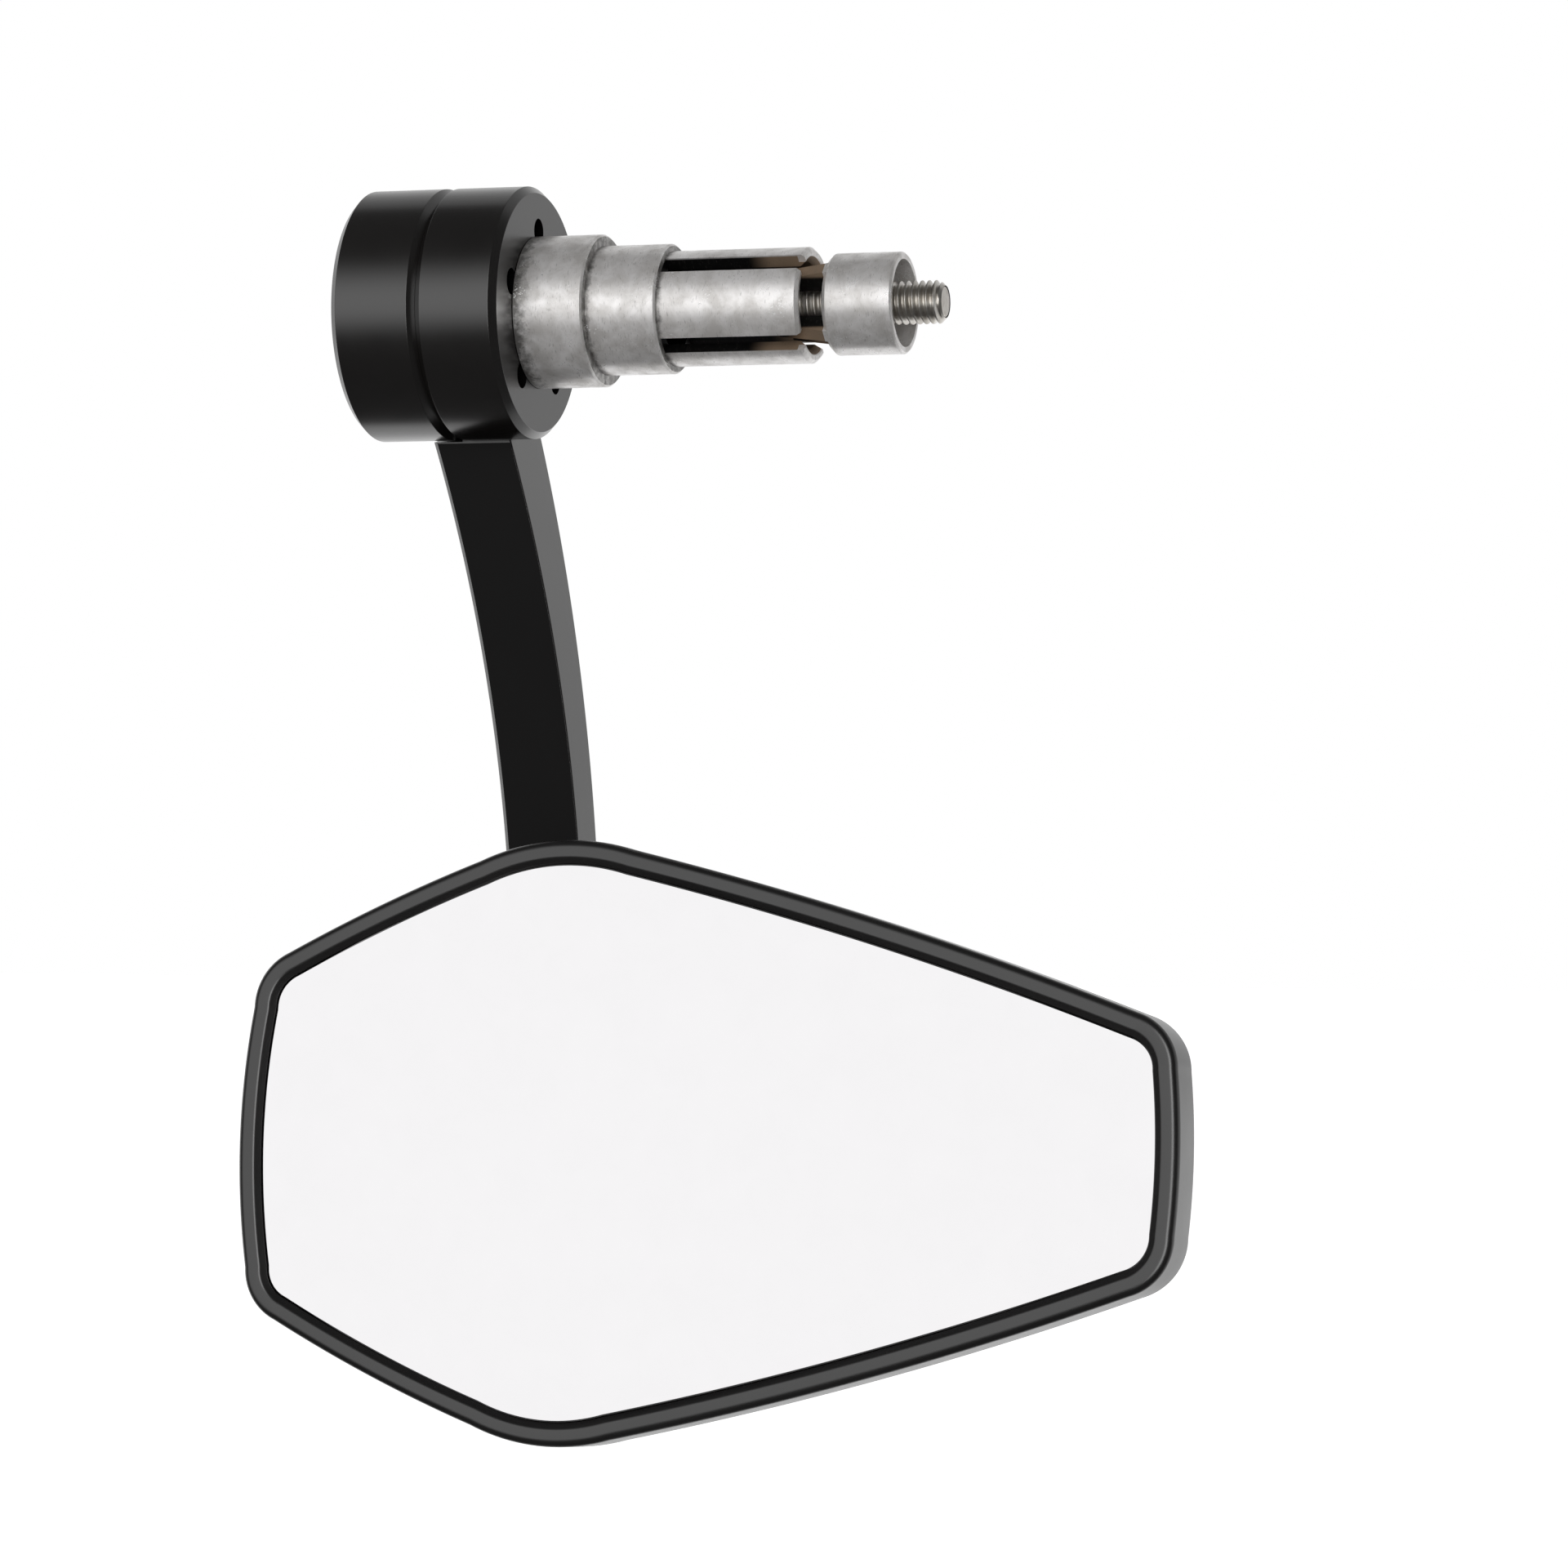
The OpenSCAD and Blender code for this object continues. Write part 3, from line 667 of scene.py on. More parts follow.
class NodeKit:
    """Geometry node groups for what repeats."""

    @staticmethod
    def _start(name: str, inputs: Dict[str, str]) -> Tuple[Tree, Dict[str, Socket]]:
        """Starts a geometry node group with named inputs.

        Args:
            name: Name of the group.
            inputs: Kind of each input by its name.

        Returns:
            The group, and the socket of each input by its name.
        """
        tree = bpy.data.node_groups.new(name, "GeometryNodeTree")
        tree.interface.new_socket("Geometry", in_out="OUTPUT", socket_type="NodeSocketGeometry")
        for label, kind in inputs.items():
            tree.interface.new_socket(label, in_out="INPUT", socket_type=f"NodeSocket{kind}")
        source = add_node(tree, "NodeGroupInput")
        return tree, {label: source.outputs[label] for label in inputs}

    @staticmethod
    def _end(tree: Tree, shape: Node, material: Socket) -> Tree:
        """Ends a group with real mesh in one material.

        Args:
            tree: The group.
            shape: Node that gives the geometry.
            material: Socket that gives the material.

        Returns:
            The finished group.
        """
        real = add_node(tree, "GeometryNodeRealizeInstances", {"Geometry": shape})
        dressed = add_node(tree, "GeometryNodeSetMaterial", {"Geometry": real, "Material": material})
        add_node(tree, "NodeGroupOutput", {0: dressed})
        return tree

    @staticmethod
    def run(name: str, tree: Tree, values: Dict[str, object]) -> Object:
        """Runs a node group on a new object and keeps the plain mesh.

        Args:
            name: Name of the piece.
            tree: Node group.
            values: Input values by input name.

        Returns:
            The new object.
        """
        obj = bpy.data.objects.new(name, bpy.data.meshes.new(name))
        bpy.context.scene.collection.objects.link(obj)
        change = obj.modifiers.new("nodes", "NODES")
        change.node_group = tree
        for item in tree.interface.items_tree:
            if item.item_type == "SOCKET" and item.in_out == "INPUT":
                change[item.identifier] = values[item.name]
        MeshKit.freeze(obj)
        return obj

    @staticmethod
    def thread_group() -> Tree:
        """Builds a helical thread as a wrapped grid.

        Returns:
            The node group, with length, pitch, radius, depth and tip inputs in metres.
        """
        sizes = {name: "Float" for name in ("Length", "Pitch", "Radius", "Depth", "Tip")}
        counts = {"Steps along": "Int", "Steps round": "Int"}
        tree, known = NodeKit._start("Helical thread", {**sizes, **counts, "Material": "Material"})
        grid = add_node(
            tree, "GeometryNodeMeshGrid", {0: 1.0, 1: 1.0, 2: known["Steps along"], 3: known["Steps round"]}
        )
        place = add_node(tree, "GeometryNodeInputPosition")
        known["x"], known["y"], _ = add_node(tree, SPLIT, {0: place}).outputs
        # Each line names a value and how it comes from earlier ones; flank alone is a mapped range
        for name, operation, *terms in (
            ("share", "ADD", "x", 0.5),
            ("along", "MULTIPLY", "share", "Length"),
            ("turn", "ADD", "y", 0.5),
            ("angle", "MULTIPLY", "turn", 2 * math.pi),
            ("turns", "DIVIDE", "along", "Pitch"),
            ("lag", "SUBTRACT", "turns", "turn"),
            ("ahead", "ADD", "lag", 4.0),
            ("phase", "FRACT", "ahead"),
            ("middle", "SUBTRACT", "phase", 0.5),
            ("ridge", "ABSOLUTE", "middle"),
            ("flank", "", "ridge", 0.06, 0.44),
            ("cut", "MULTIPLY", "flank", "Depth"),
            ("radius", "SUBTRACT", "Radius", "cut"),
            ("left", "SUBTRACT", "Length", "along"),
            ("end", "SUBTRACT", "Radius", "Tip"),
            ("cone", "ADD", "end", "left"),
            ("least", "MINIMUM", "radius", "cone"),
            ("cosine", "COSINE", "angle"),
            ("sine", "SINE", "angle"),
            ("across", "MULTIPLY", "least", "cosine"),
            ("up", "MULTIPLY", "least", "sine"),
        ):
            inputs = {i: known.get(term, term) for i, term in enumerate(terms)}
            settings = {"operation": operation} if operation else {}
            known[name] = add_node(tree, MATH if operation else RANGE, inputs, **settings).outputs[0]
        wrapped = add_node(tree, COMBINE, {0: known["along"], 1: known["across"], 2: known["up"]})
        moved = add_node(tree, "GeometryNodeSetPosition", {"Geometry": grid, "Position": wrapped})
        sealed = add_node(tree, "GeometryNodeMergeByDistance", {"Geometry": moved, "Distance": 1e-6})
        return NodeKit._end(tree, sealed, known["Material"])

    @staticmethod
    def ring_group() -> Tree:
        """Builds a group that sets copies of an object round the X axis.

        Returns:
            The node group, with object, count, radius and start angle inputs.
        """
        sizes = {"Count": "Int", "Radius": "Float", "Start": "Float"}
        inputs = {"Piece": "Object", **sizes, "Material": "Material"}
        tree, known = NodeKit._start("Copies round an axis", inputs)
        count = known["Count"]
        line = add_node(tree, "GeometryNodeMeshLine", {"Count": count, "Offset": (0, 0, 0)})
        index = add_node(tree, "GeometryNodeInputIndex")
        share = add_node(tree, MATH, {0: index, 1: count}, operation="DIVIDE")
        angle = add_node(tree, MATH, {0: share, 1: 2 * math.pi, 2: known["Start"]}, operation="MULTIPLY_ADD")
        turn = add_node(tree, COMBINE, {0: angle})
        out = add_node(tree, COMBINE, {2: known["Radius"]})
        piece = add_node(tree, "GeometryNodeObjectInfo", {"Object": known["Piece"]}).outputs["Geometry"]
        shifted = add_node(tree, "GeometryNodeTransform", {"Geometry": piece, "Translation": out})
        copies = add_node(
            tree, "GeometryNodeInstanceOnPoints", {"Points": line, "Instance": shifted, "Rotation": turn}
        )
        return NodeKit._end(tree, copies, known["Material"])


@dataclass(frozen=True)
class ThreadSize:
    """Sizes of an M6 thread in millimetres, with its steps for each millimetre and each turn."""

    pitch: float = 1.0
    radius: float = 3.0
    depth: float = 0.6
    steps_along: int = 16
    steps_round: int = 73


class Fastener:
    """Makes threads and circles of screws through the node groups."""

    _thread = NodeKit.thread_group()
    _ring = NodeKit.ring_group()

    @staticmethod
    def thread(name: str, start: float, end: float, tip: float, size: ThreadSize = ThreadSize()) -> Object:
        """Makes a thread along X.

        Args:
            name: Name of the piece.
            start: X where the thread starts, in millimetres.
            end: X of the screw's tip.
            tip: Height of the tip's chamfer.
            size: Sizes of the thread.

        Returns:
            The thread.
        """
        values = {
            "Length": (end - start) * MM,
            "Pitch": size.pitch * MM,
            "Radius": size.radius * MM,
            "Depth": size.depth * MM,
            "Tip": tip * MM,
            "Steps along": int((end - start) * size.steps_along),
            "Steps round": size.steps_round,
            "Material": MATERIALS.get(Finishes.SCREW),
        }
        thread = NodeKit.run(name, Fastener._thread, values)
        thread.data.transform(Matrix.Translation((start * MM, 0, 0)))
        for face in thread.data.polygons:
            face.use_smooth = True
        return thread

    @staticmethod
    def circle(name: str, piece: Object, count: int, radius: float, start: float, finish: Finishes) -> Object:
        """Sets copies of a piece round the X axis and removes the piece.

        Args:
            name: Name of the new object.
            piece: What is copied.
            count: Number of copies.
            radius: Radius of the circle in millimetres.
            start: Angle of the first copy in degrees.
            finish: Finish of the copies.

        Returns:
            The copies as one object.
        """
        values = {"Piece": piece, "Count": count, "Radius": radius * MM, "Start": math.radians(start)}
        copies = NodeKit.run(name, Fastener._ring, {**values, "Material": MATERIALS.get(finish)})
        bpy.data.objects.remove(piece)
        return copies


class Assembly:
    """Base of every sub-assembly."""

    title = "assembly"

    def build(self) -> None:
        """Makes the pieces."""
        raise NotImplementedError

    def dress(self, obj: Object, finish: Finishes, body: Body, slot: Slot, node: str) -> None:
        """Gives a piece its finish and hangs it on its body.

        Args:
            obj: The piece, in place.
            finish: Its finish.
            body: Body that it rides on.
            slot: Slot of the record; not used.
            node: Node of the frame that it stands for.
        """
        MeshKit.settle(obj)
        obj.data.materials.clear()
        obj.data.materials.append(MATERIALS.get(finish))
        for face in obj.data.polygons:
            face.material_index = 0
        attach(obj, body.value)
        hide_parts(node)
        log.info("%s: %s, %d faces", self.title, obj.name, len(obj.data.polygons))

    def keep(self, node: str, finish: Finishes, slot: Slot) -> None:
        """Shows a node of the frame as it is, with a finish.

        Args:
            node: Name of the node.
            finish: Its finish.
            slot: Slot of the record; not used.
        """
        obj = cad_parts[node]
        obj.data.materials.clear()
        obj.data.materials.append(MATERIALS.get(finish))
        log.info("%s: kept %s", self.title, node)


@dataclass(frozen=True)
class InsertSize:
    """Sizes of the expanding insert, in millimetres: places along X, lengths, and radii that end in r."""

    step_a_r: float = 10.6
    step_b_r: float = 9.0
    collet_r: float = 8.0
    bore_r: float = 6.0
    hole_r: float = 3.3
    spigot_r: float = 7.0
    spigot_end: float = -1.5
    face: float = 0.05
    bore_floor: float = 4.5
    step_a_end: float = 10.1
    step_b_end: float = 20.2
    collet_end: float = 40.4
    step_bevel: float = 0.3
    tip_bevel: float = 0.5
    mouth_l: float = 1.0
    mouth_h: float = 0.9
    sleeve_edge: float = 0.07
    slot_w: float = 2.8
    slot_start: float = 20.25
    nut_r: float = 7.0
    nut_hole_r: float = 3.05
    nut_start: float = 43.4
    nut_end: float = 53.4
    nut_bevel: float = 0.6
    cup_r: float = 6.0
    cup_depth: float = 5.0
    cup_bevel: float = 0.3
    nut_edge: float = 0.12
    key_w: float = 1.9
    key_len: float = 7.0
    key_foot: float = 1.0
    key_low_r: float = 3.3
    key_tip_r: float = 5.35
    key_top_r: float = 6.8
    screw_r: float = 3.0
    screw_top: float = -11.8
    screw_seat: float = -5.8
    socket_depth: float = 3.0
    socket_r: float = 2.5
    head_r: float = 5.0
    head_bevel: Point2 = (0.4, 0.3)
    screw_edge: float = 0.15
    thread_start: float = 35.2
    core_drop: float = 0.35
    screw_tip: float = 59.2
    screw_tip_r: float = 2.1
    thread_tip: float = 0.8


@dataclass
class InsertAssembly(Assembly):
    """Stepped sleeve, expander nut and clamp screw."""

    size: InsertSize = InsertSize()
    title = "insert"

    def build(self) -> None:
        """Makes the sleeve, the nut and the screw."""
        self._sleeve()
        self._nut()
        self._screw()

    def _sleeve(self) -> None:
        """Turns the sleeve and cuts its four slots."""
        s = self.size
        profile = [
            (s.bore_floor, s.bore_r),
            (s.collet_end - s.mouth_l, s.bore_r),
            (s.collet_end, s.bore_r + s.mouth_h),
            (s.collet_end, s.collet_r - s.tip_bevel),
            (s.collet_end - s.tip_bevel, s.collet_r),
            (s.step_b_end, s.collet_r),
            (s.step_b_end, s.step_b_r - s.step_bevel),
            (s.step_b_end - s.step_bevel, s.step_b_r),
            (s.step_a_end, s.step_b_r),
            (s.step_a_end, s.step_a_r - s.step_bevel),
            (s.step_a_end - s.step_bevel, s.step_a_r),
            (s.face, s.step_a_r),
            (s.face, s.spigot_r),
            (s.spigot_end, s.spigot_r),
            (s.spigot_end, s.hole_r),
            (s.bore_floor, s.hole_r),
        ]
        sleeve = MeshKit.lathe("sleeve", MeshKit.soften(profile, s.sleeve_edge, 2), 192)
        cutters = []
        past, wide, half = 60, 20, s.slot_w / 2
        for angle in (45, 135):
            cutter = MeshKit.box(f"cut{angle}", (s.slot_start, -wide, -half), (past, wide, half))
            cutter.data.transform(Matrix.Rotation(math.radians(angle), 4, "X"))
            cutters.append(cutter)
        MeshKit.combine(sleeve, cutters)
        self.dress(sleeve, Finishes.ZINC, Body.INSERT, Slot.INSERT, "insert")

    def _nut(self) -> None:
        """Turns the cup-shaped nut and sets its four wedge keys."""
        s = self.size
        profile = [
            (s.nut_start, s.nut_hole_r),
            (s.nut_start, s.nut_r - s.nut_bevel),
            (s.nut_start + s.nut_bevel, s.nut_r),
            (s.nut_end - s.cup_bevel, s.nut_r),
            (s.nut_end, s.nut_r - s.cup_bevel),
            (s.nut_end, s.cup_r),
            (s.nut_end - s.cup_depth, s.cup_r),
            (s.nut_end - s.cup_depth, s.nut_hole_r),
        ]
        nut = MeshKit.lathe("nut", MeshKit.soften(profile, s.nut_edge), 128)
        w, low = s.key_w / 2, s.key_low_r
        stations = ((s.nut_start - s.key_len, s.key_tip_r), (s.nut_start + s.key_foot, s.key_top_r))
        ends = [[(x, -w, low), (x, w, low), (x, w, top), (x, -w, top)] for x, top in stations]
        key = MeshKit.rings("key", ends)
        MeshKit.join(nut, [Fastener.circle("keys", key, 4, 0.0, 45, Finishes.ZINC_NUT)])
        self.dress(nut, Finishes.ZINC_NUT, Body.NUT, Slot.INSERT, "expander_nut")

    def _screw(self) -> None:
        """Makes the clamp screw with its real thread."""
        s = self.size
        profile = [
            (s.screw_top + s.socket_depth, 0.0),
            (s.screw_top + s.socket_depth, s.socket_r),
            (s.screw_top, s.socket_r + 0.1),
            (s.screw_top, s.head_r - s.head_bevel[1]),
            (s.screw_top + s.head_bevel[0], s.head_r),
            (s.screw_seat, s.head_r),
            (s.screw_seat, s.screw_r),
            (s.thread_start, s.screw_r),
            (s.thread_start + 0.2, s.screw_r - s.core_drop),
            (s.screw_tip - 0.05, s.screw_tip_r),
            (s.screw_tip, 0.0),
        ]
        outline = MeshKit.soften(profile, s.screw_edge, closed=False)
        shank = MeshKit.lathe("clamp_screw_body", outline, 64, Ends.OPEN)
        MeshKit.join(shank, [Fastener.thread("thread", s.thread_start, s.screw_tip, s.thread_tip)], 50)
        self.dress(shank, Finishes.SCREW, Body.SCREW, Slot.SCREW, "clamp_screw")
        self.keep("clamp_washer", Finishes.WASHER, Slot.WASHER)


@dataclass(frozen=True)
class DiscSize:
    """Sizes of the eye and end cap, in millimetres."""

    radius: float = 17.6
    chamfer: float = 0.95
    eye_w: float = 12.0
    cap_w: float = 12.4
    hub_r: float = 5.8
    seat_r: float = 7.05
    bolt_r: float = 3.3
    web_far: float = -4.2
    web_near: float = -1.7
    key_r: float = 3.2
    key_bevel: float = 0.8
    hole_r: float = 1.85
    hole_depth: float = 8.0
    pitch_r: float = 11.3
    count: int = 5
    edge: float = 0.12


@dataclass(frozen=True)
class BarSize:
    """Sizes of the curved arm and its boss, in millimetres."""

    straight_z: float = -97.0
    outer_r: float = 293.0
    inner_r: float = 274.8
    edge_x: float = 6.19
    back_x: float = -4.83
    front_y: float = 1.5
    thick: float = 7.07
    back_r: float = 541.6
    top: float = -7.0
    wing_top: float = -11.0
    core_r: float = 16.2
    clear_r: float = 17.8
    wide_bevel: float = 0.7
    small_bevel: float = 0.15
    edge: float = 0.1
    pivot_x: float = 0.68
    pivot_z: float = -112.0
    boss_r: float = 7.5
    boss_near: float = 0.835
    boss_far: float = 9.235
    boss_bevel: float = 0.5
    bore_r: float = 3.1
    stations: int = 96


@dataclass(frozen=True)
class StudSize:
    """Sizes of the ball stud, its washer and its nut, in millimetres."""

    ball_y: float = -13.0
    ball_r: float = 5.0
    neck_r: float = 2.3
    hex_af: float = 10.0
    hex_bevel: float = 0.45
    flange_t: float = 3.0
    stud_r: float = 3.0
    tip_y: float = 17.035
    tip_r: float = 2.2
    core_drop: float = 0.5
    washer_r: float = 6.0
    washer_bore_r: float = 3.2
    washer_t: float = 1.6
    nut_h: float = 5.0
    nut_bore_r: float = 3.05
    edge: float = 0.12
    ball_steps: int = 28
    thread_tip: float = 0.5


@dataclass
class ArmAssembly(Assembly):
    """Arm with its eye, end cap, cap screws and ball stud."""

    disc: DiscSize = DiscSize()
    bar: BarSize = BarSize()
    stud: StudSize = StudSize()
    title = "arm"

    def build(self) -> None:
        """Makes the arm and what is fixed to it."""
        self._arm()
        self._cap()
        self._cap_screws()
        self._stud()

    def edges_at(self, z: float) -> Tuple[float, float, float]:
        """Gives the arm's section at a height.

        Args:
            z: Height in millimetres.

        Returns:
            The two X edges and the Y of the back face.
        """
        b = self.bar
        rise = max(0.0, z - b.straight_z)
        left = b.back_x - (b.inner_r - math.sqrt(b.inner_r**2 - rise**2))
        right = b.edge_x - (b.outer_r - math.sqrt(b.outer_r**2 - rise**2))
        back = b.front_y + b.thick + (b.back_r - math.sqrt(b.back_r**2 - rise**2))
        return left, right, back

    def _bar_mesh(self) -> Object:
        """Skins the curved bar, chamfered on one side and nearly sharp on the other.

        Returns:
            The bar, cut free of the discs' space.
        """
        b, d = self.bar, self.disc
        w, q, front = b.wide_bevel, b.small_bevel, b.front_y
        rings = []
        for i in range(b.stations + 1):
            z = b.pivot_z + (b.top - b.pivot_z) * i / b.stations
            x0, x1, back = self.edges_at(z)
            corners = [(x0 + w, front), (x1 - q, front), (x1, front + q), (x1, back - q)]
            corners += [(x1 - q, back), (x0 + w, back), (x0, back - w), (x0, front + w)]
            rings.append([(x, y, z) for x, y in MeshKit.soften(corners, b.edge, 2)])
        bar = MeshKit.rings("bar", rings)
        side = -d.eye_w + 0.005
        cutters = [
            MeshKit.rod("core", (side, 0, 0), (40, 0, 0), b.core_r, 192),
            MeshKit.rod("cap_space", (-60, 0, 0), (side, 0, 0), b.clear_r, 192),
            MeshKit.box("over_cap", (-60, -30, b.wing_top), (side, 40, 20)),
        ]
        MeshKit.combine(bar, cutters)
        return bar

    def _arm(self) -> None:
        """Joins the eye, the bar and the boss, and bores them."""
        d, b = self.disc, self.bar
        profile = [
            (d.web_far, d.bolt_r),
            (d.web_far, d.hub_r),
            (-d.eye_w, d.hub_r),
            (-d.eye_w, d.radius - d.chamfer),
            (-d.eye_w + d.chamfer, d.radius),
            (-d.chamfer, d.radius),
            (0.0, d.radius - d.chamfer),
            (0.0, d.seat_r),
            (d.web_near, d.seat_r),
            (d.web_near, d.bolt_r),
        ]
        eye = MeshKit.lathe("arm_body", MeshKit.soften(profile, d.edge), 256)
        near, far = (b.pivot_x, b.boss_near, b.pivot_z), (b.pivot_x, b.boss_far, b.pivot_z)
        boss = MeshKit.rod("boss", near, far, b.boss_r, 128, b.boss_bevel)
        MeshKit.combine(eye, [self._bar_mesh(), boss], Work.UNITE)
        bores = [MeshKit.rod("bore", (b.pivot_x, -5, b.pivot_z), (b.pivot_x, 15, b.pivot_z), b.bore_r)]
        for i in range(d.count):
            a = 2 * math.pi * i / d.count
            y, z = -d.pitch_r * math.sin(a), d.pitch_r * math.cos(a)
            bores.append(MeshKit.rod(f"hole{i}", (-d.hole_depth, y, z), (3, y, z), d.hole_r))
        MeshKit.combine(eye, bores)
        self.dress(eye, Finishes.ANODISED, Body.ARM, Slot.BLACK, "arm")
        self._mill(eye)

    def _mill(self, obj: Object) -> None:
        """Leaves the turned rim and the sides in the first finish and gives the flats their own.

        Args:
            obj: The arm with its eye.
        """
        d, slack = self.disc, 0.1
        obj.data.materials.append(MATERIALS.get(Finishes.MILLED))
        for face in obj.data.polygons:
            x, y, z = face.center / MM
            in_width = -d.eye_w - slack < x < slack
            in_depth = d.radius - d.chamfer - slack < math.hypot(y, z) < d.radius + slack
            on_rim = in_width and in_depth and abs(face.normal.x) < 0.9
            face.material_index = 0 if on_rim or abs(face.normal.x) > 0.5 else 1

    def _stud(self) -> None:
        """Turns the ball stud with its thread, the washer and the hexagon nut."""
        b, s = self.bar, self.stud
        across = s.hex_af / math.sqrt(3)
        first = math.asin(s.neck_r / s.ball_r)
        angles = [k * (math.pi - first) / s.ball_steps for k in range(s.ball_steps + 1)]
        profile = [(s.ball_y - s.ball_r * math.cos(t), s.ball_r * math.sin(t)) for t in angles]
        flange, washer_end = b.boss_near - s.flange_t, b.boss_far + s.washer_t
        nut_end = washer_end + s.nut_h
        profile += [(flange + 0.1, s.neck_r), (flange + 0.1, s.stud_r), (washer_end, s.stud_r)]
        profile += [(washer_end + 0.1, s.stud_r - s.core_drop), (s.tip_y - 0.05, s.tip_r), (s.tip_y, 0.0)]
        body = MeshKit.lathe("ball_stud_body", profile, 96, Ends.OPEN)
        flat = [(b.boss_far, s.washer_bore_r), (b.boss_far, s.washer_r), (washer_end, s.washer_r)]
        flat.append((washer_end, s.washer_bore_r))
        washer = MeshKit.lathe("stud_washer_body", MeshKit.soften(flat, s.edge), 96)
        hexagon = MeshKit.rod("flange", (flange, 0, 0), (b.boss_near, 0, 0), across, 6)
        nut = MeshKit.rod("stud_nut_body", (washer_end, 0, 0), (nut_end, 0, 0), across, 6)
        # A bevelled cylinder round each hexagon takes its corners off
        for piece, x0, x1, bevel in (
            (hexagon, flange, b.boss_near, s.hex_bevel),
            (nut, washer_end, nut_end, across - s.hex_af / 2),
        ):
            trim = MeshKit.rod("trim", (x0, 0, 0), (x1, 0, 0), across + 0.02, 96, bevel)
            MeshKit.combine(piece, [trim], Work.COMMON)
        thread = Fastener.thread("stud_thread", washer_end + 0.05, s.tip_y, s.thread_tip)
        MeshKit.join(body, [hexagon, thread], 40)
        bore = MeshKit.rod("nut_bore", (washer_end - 1, 0, 0), (nut_end + 1, 0, 0), s.nut_bore_r, 64)
        MeshKit.combine(nut, [bore])
        along_y = Matrix.Rotation(math.pi / 2, 4, "Z")
        place = Matrix.Translation(Vector((b.pivot_x, 0, b.pivot_z)) * MM) @ along_y
        for obj, finish, slot, node in (
            (body, Finishes.SCREW, Slot.SCREW, "ball_stud"),
            (washer, Finishes.WASHER, Slot.WASHER, "stud_washer"),
            (nut, Finishes.WASHER, Slot.WASHER, "stud_nut"),
        ):
            obj.data.transform(place)
            self.dress(obj, finish, Body.ARM, slot, node)

    def _cap(self) -> None:
        """Turns the end cap with its key hole."""
        d = self.disc
        x0, x1 = -d.eye_w - d.cap_w, -d.eye_w
        profile = [
            (x0 + d.key_bevel, d.key_r),
            (x0, d.key_r + d.key_bevel),
            (x0, d.radius - d.chamfer),
            (x0 + d.chamfer, d.radius),
            (x1 - d.chamfer, d.radius),
            (x1, d.radius - d.chamfer),
            (x1, d.key_r),
        ]
        cap = MeshKit.lathe("end_cap_body", MeshKit.soften(profile, d.edge), 256)
        self.dress(cap, Finishes.ANODISED, Body.ARM, Slot.BLACK, "end_cap")

    def _cap_screws(self) -> None:
        """Sets the small screws deep in their holes."""
        d = self.disc
        # Places along X from the hole's depth, and radii
        shank = [(-9.0, 0.0), (-9.0, 1.0), (0.0, 1.0)]
        head = [(0.0, 1.7), (1.5, 1.7), (1.6, 1.6), (1.6, 0.9), (0.8, 0.85), (0.8, 0.0)]
        profile = [(x - d.hole_depth, r) for x, r in shank + head]
        screw = MeshKit.lathe("one_screw", profile, 32, Ends.OPEN)
        ring = Fastener.circle("cap_screw_ring", screw, d.count, d.pitch_r, 0.0, Finishes.BLACK_SCREW)
        self.dress(ring, Finishes.BLACK_SCREW, Body.ARM, Slot.BLACK_SCREW, "cap_screws")


@dataclass(frozen=True)
class Corner:
    """A rounded corner of the head's outline, and the bow of the side after it, in millimetres."""

    x: float
    y: float
    radius: float
    bow: float


@dataclass(frozen=True)
class HeadSize:
    """Sizes of the mirror head, in millimetres and degrees.

    Heights are in front of the ball centre. The pairs of wall, dome and lip hold a height, or the drop
    below the rim for lip, and then an inset, or the share of the outline for dome. Those of boss hold a
    height and a radius.
    """

    pivot: Point3 = (0.68, -13.0, -112.0)
    tilt: float = 6.0
    rim_n: float = 14.0
    rim_round: float = 1.1
    rim_steps: int = 8
    band_in: float = 2.5
    pocket_in: float = 3.25
    pocket_floor: float = 6.4
    lip_depth: float = 0.65
    lip: Tuple[Point2, ...] = ((0.0, -0.32), (0.02, -0.18), (0.07, -0.04), (0.15, 0.09), (0.26, 0.21))
    dome: Tuple[Point2, ...] = ((-0.5, 0.3), (-0.3, 0.44), (0.1, 0.58), (0.7, 0.72), (1.5, 0.84), (2.4, 0.92))
    dome_end: Point2 = (3.4, 0.97)
    dome_in: float = 0.3
    wall: Tuple[Point2, ...] = ((4.6, 0.3), (5.2, 0.08), (5.8, 0.0), (9.5, 0.0))
    shell_t: float = 1.8
    inner_in: float = 0.5
    inner_share: float = 0.9
    boss: Tuple[Point2, ...] = ((-3.4, 8.85), (-3.25, 9.0), (0.2, 13.0), (5.0, 13.0))
    seat_r: float = 5.05
    room_r: float = 5.85
    room_floor: float = -1.0
    opening_r: float = 4.05
    opening_n: Point2 = (-4.4, -1.4)
    cup_r: float = 7.5
    cup_n: Point2 = (0.3, 8.0)
    sharp: float = 40.0
    glass_r: float = 1400.0
    glass_top: float = 14.3
    glass_t: float = 2.0
    glass_c: Point2 = (26.0, -3.3)
    glass_gap: float = 0.07
    glass_steps: int = 28
    arc_steps: int = 20
    side_steps: int = 24
    corners: Tuple[Corner, ...] = (
        Corner(-32.91, -26.28, 7.7, 0.59),
        Corner(10.44, -45.93, 28.6, 1.22),
        Corner(97.42, -20.01, 8.3, 0.53),
        Corner(97.25, 13.61, 7.8, 1.17),
        Corner(10.05, 39.6, 31.4, 0.47),
        Corner(-33.17, 19.61, 8.3, 1.47),
    )


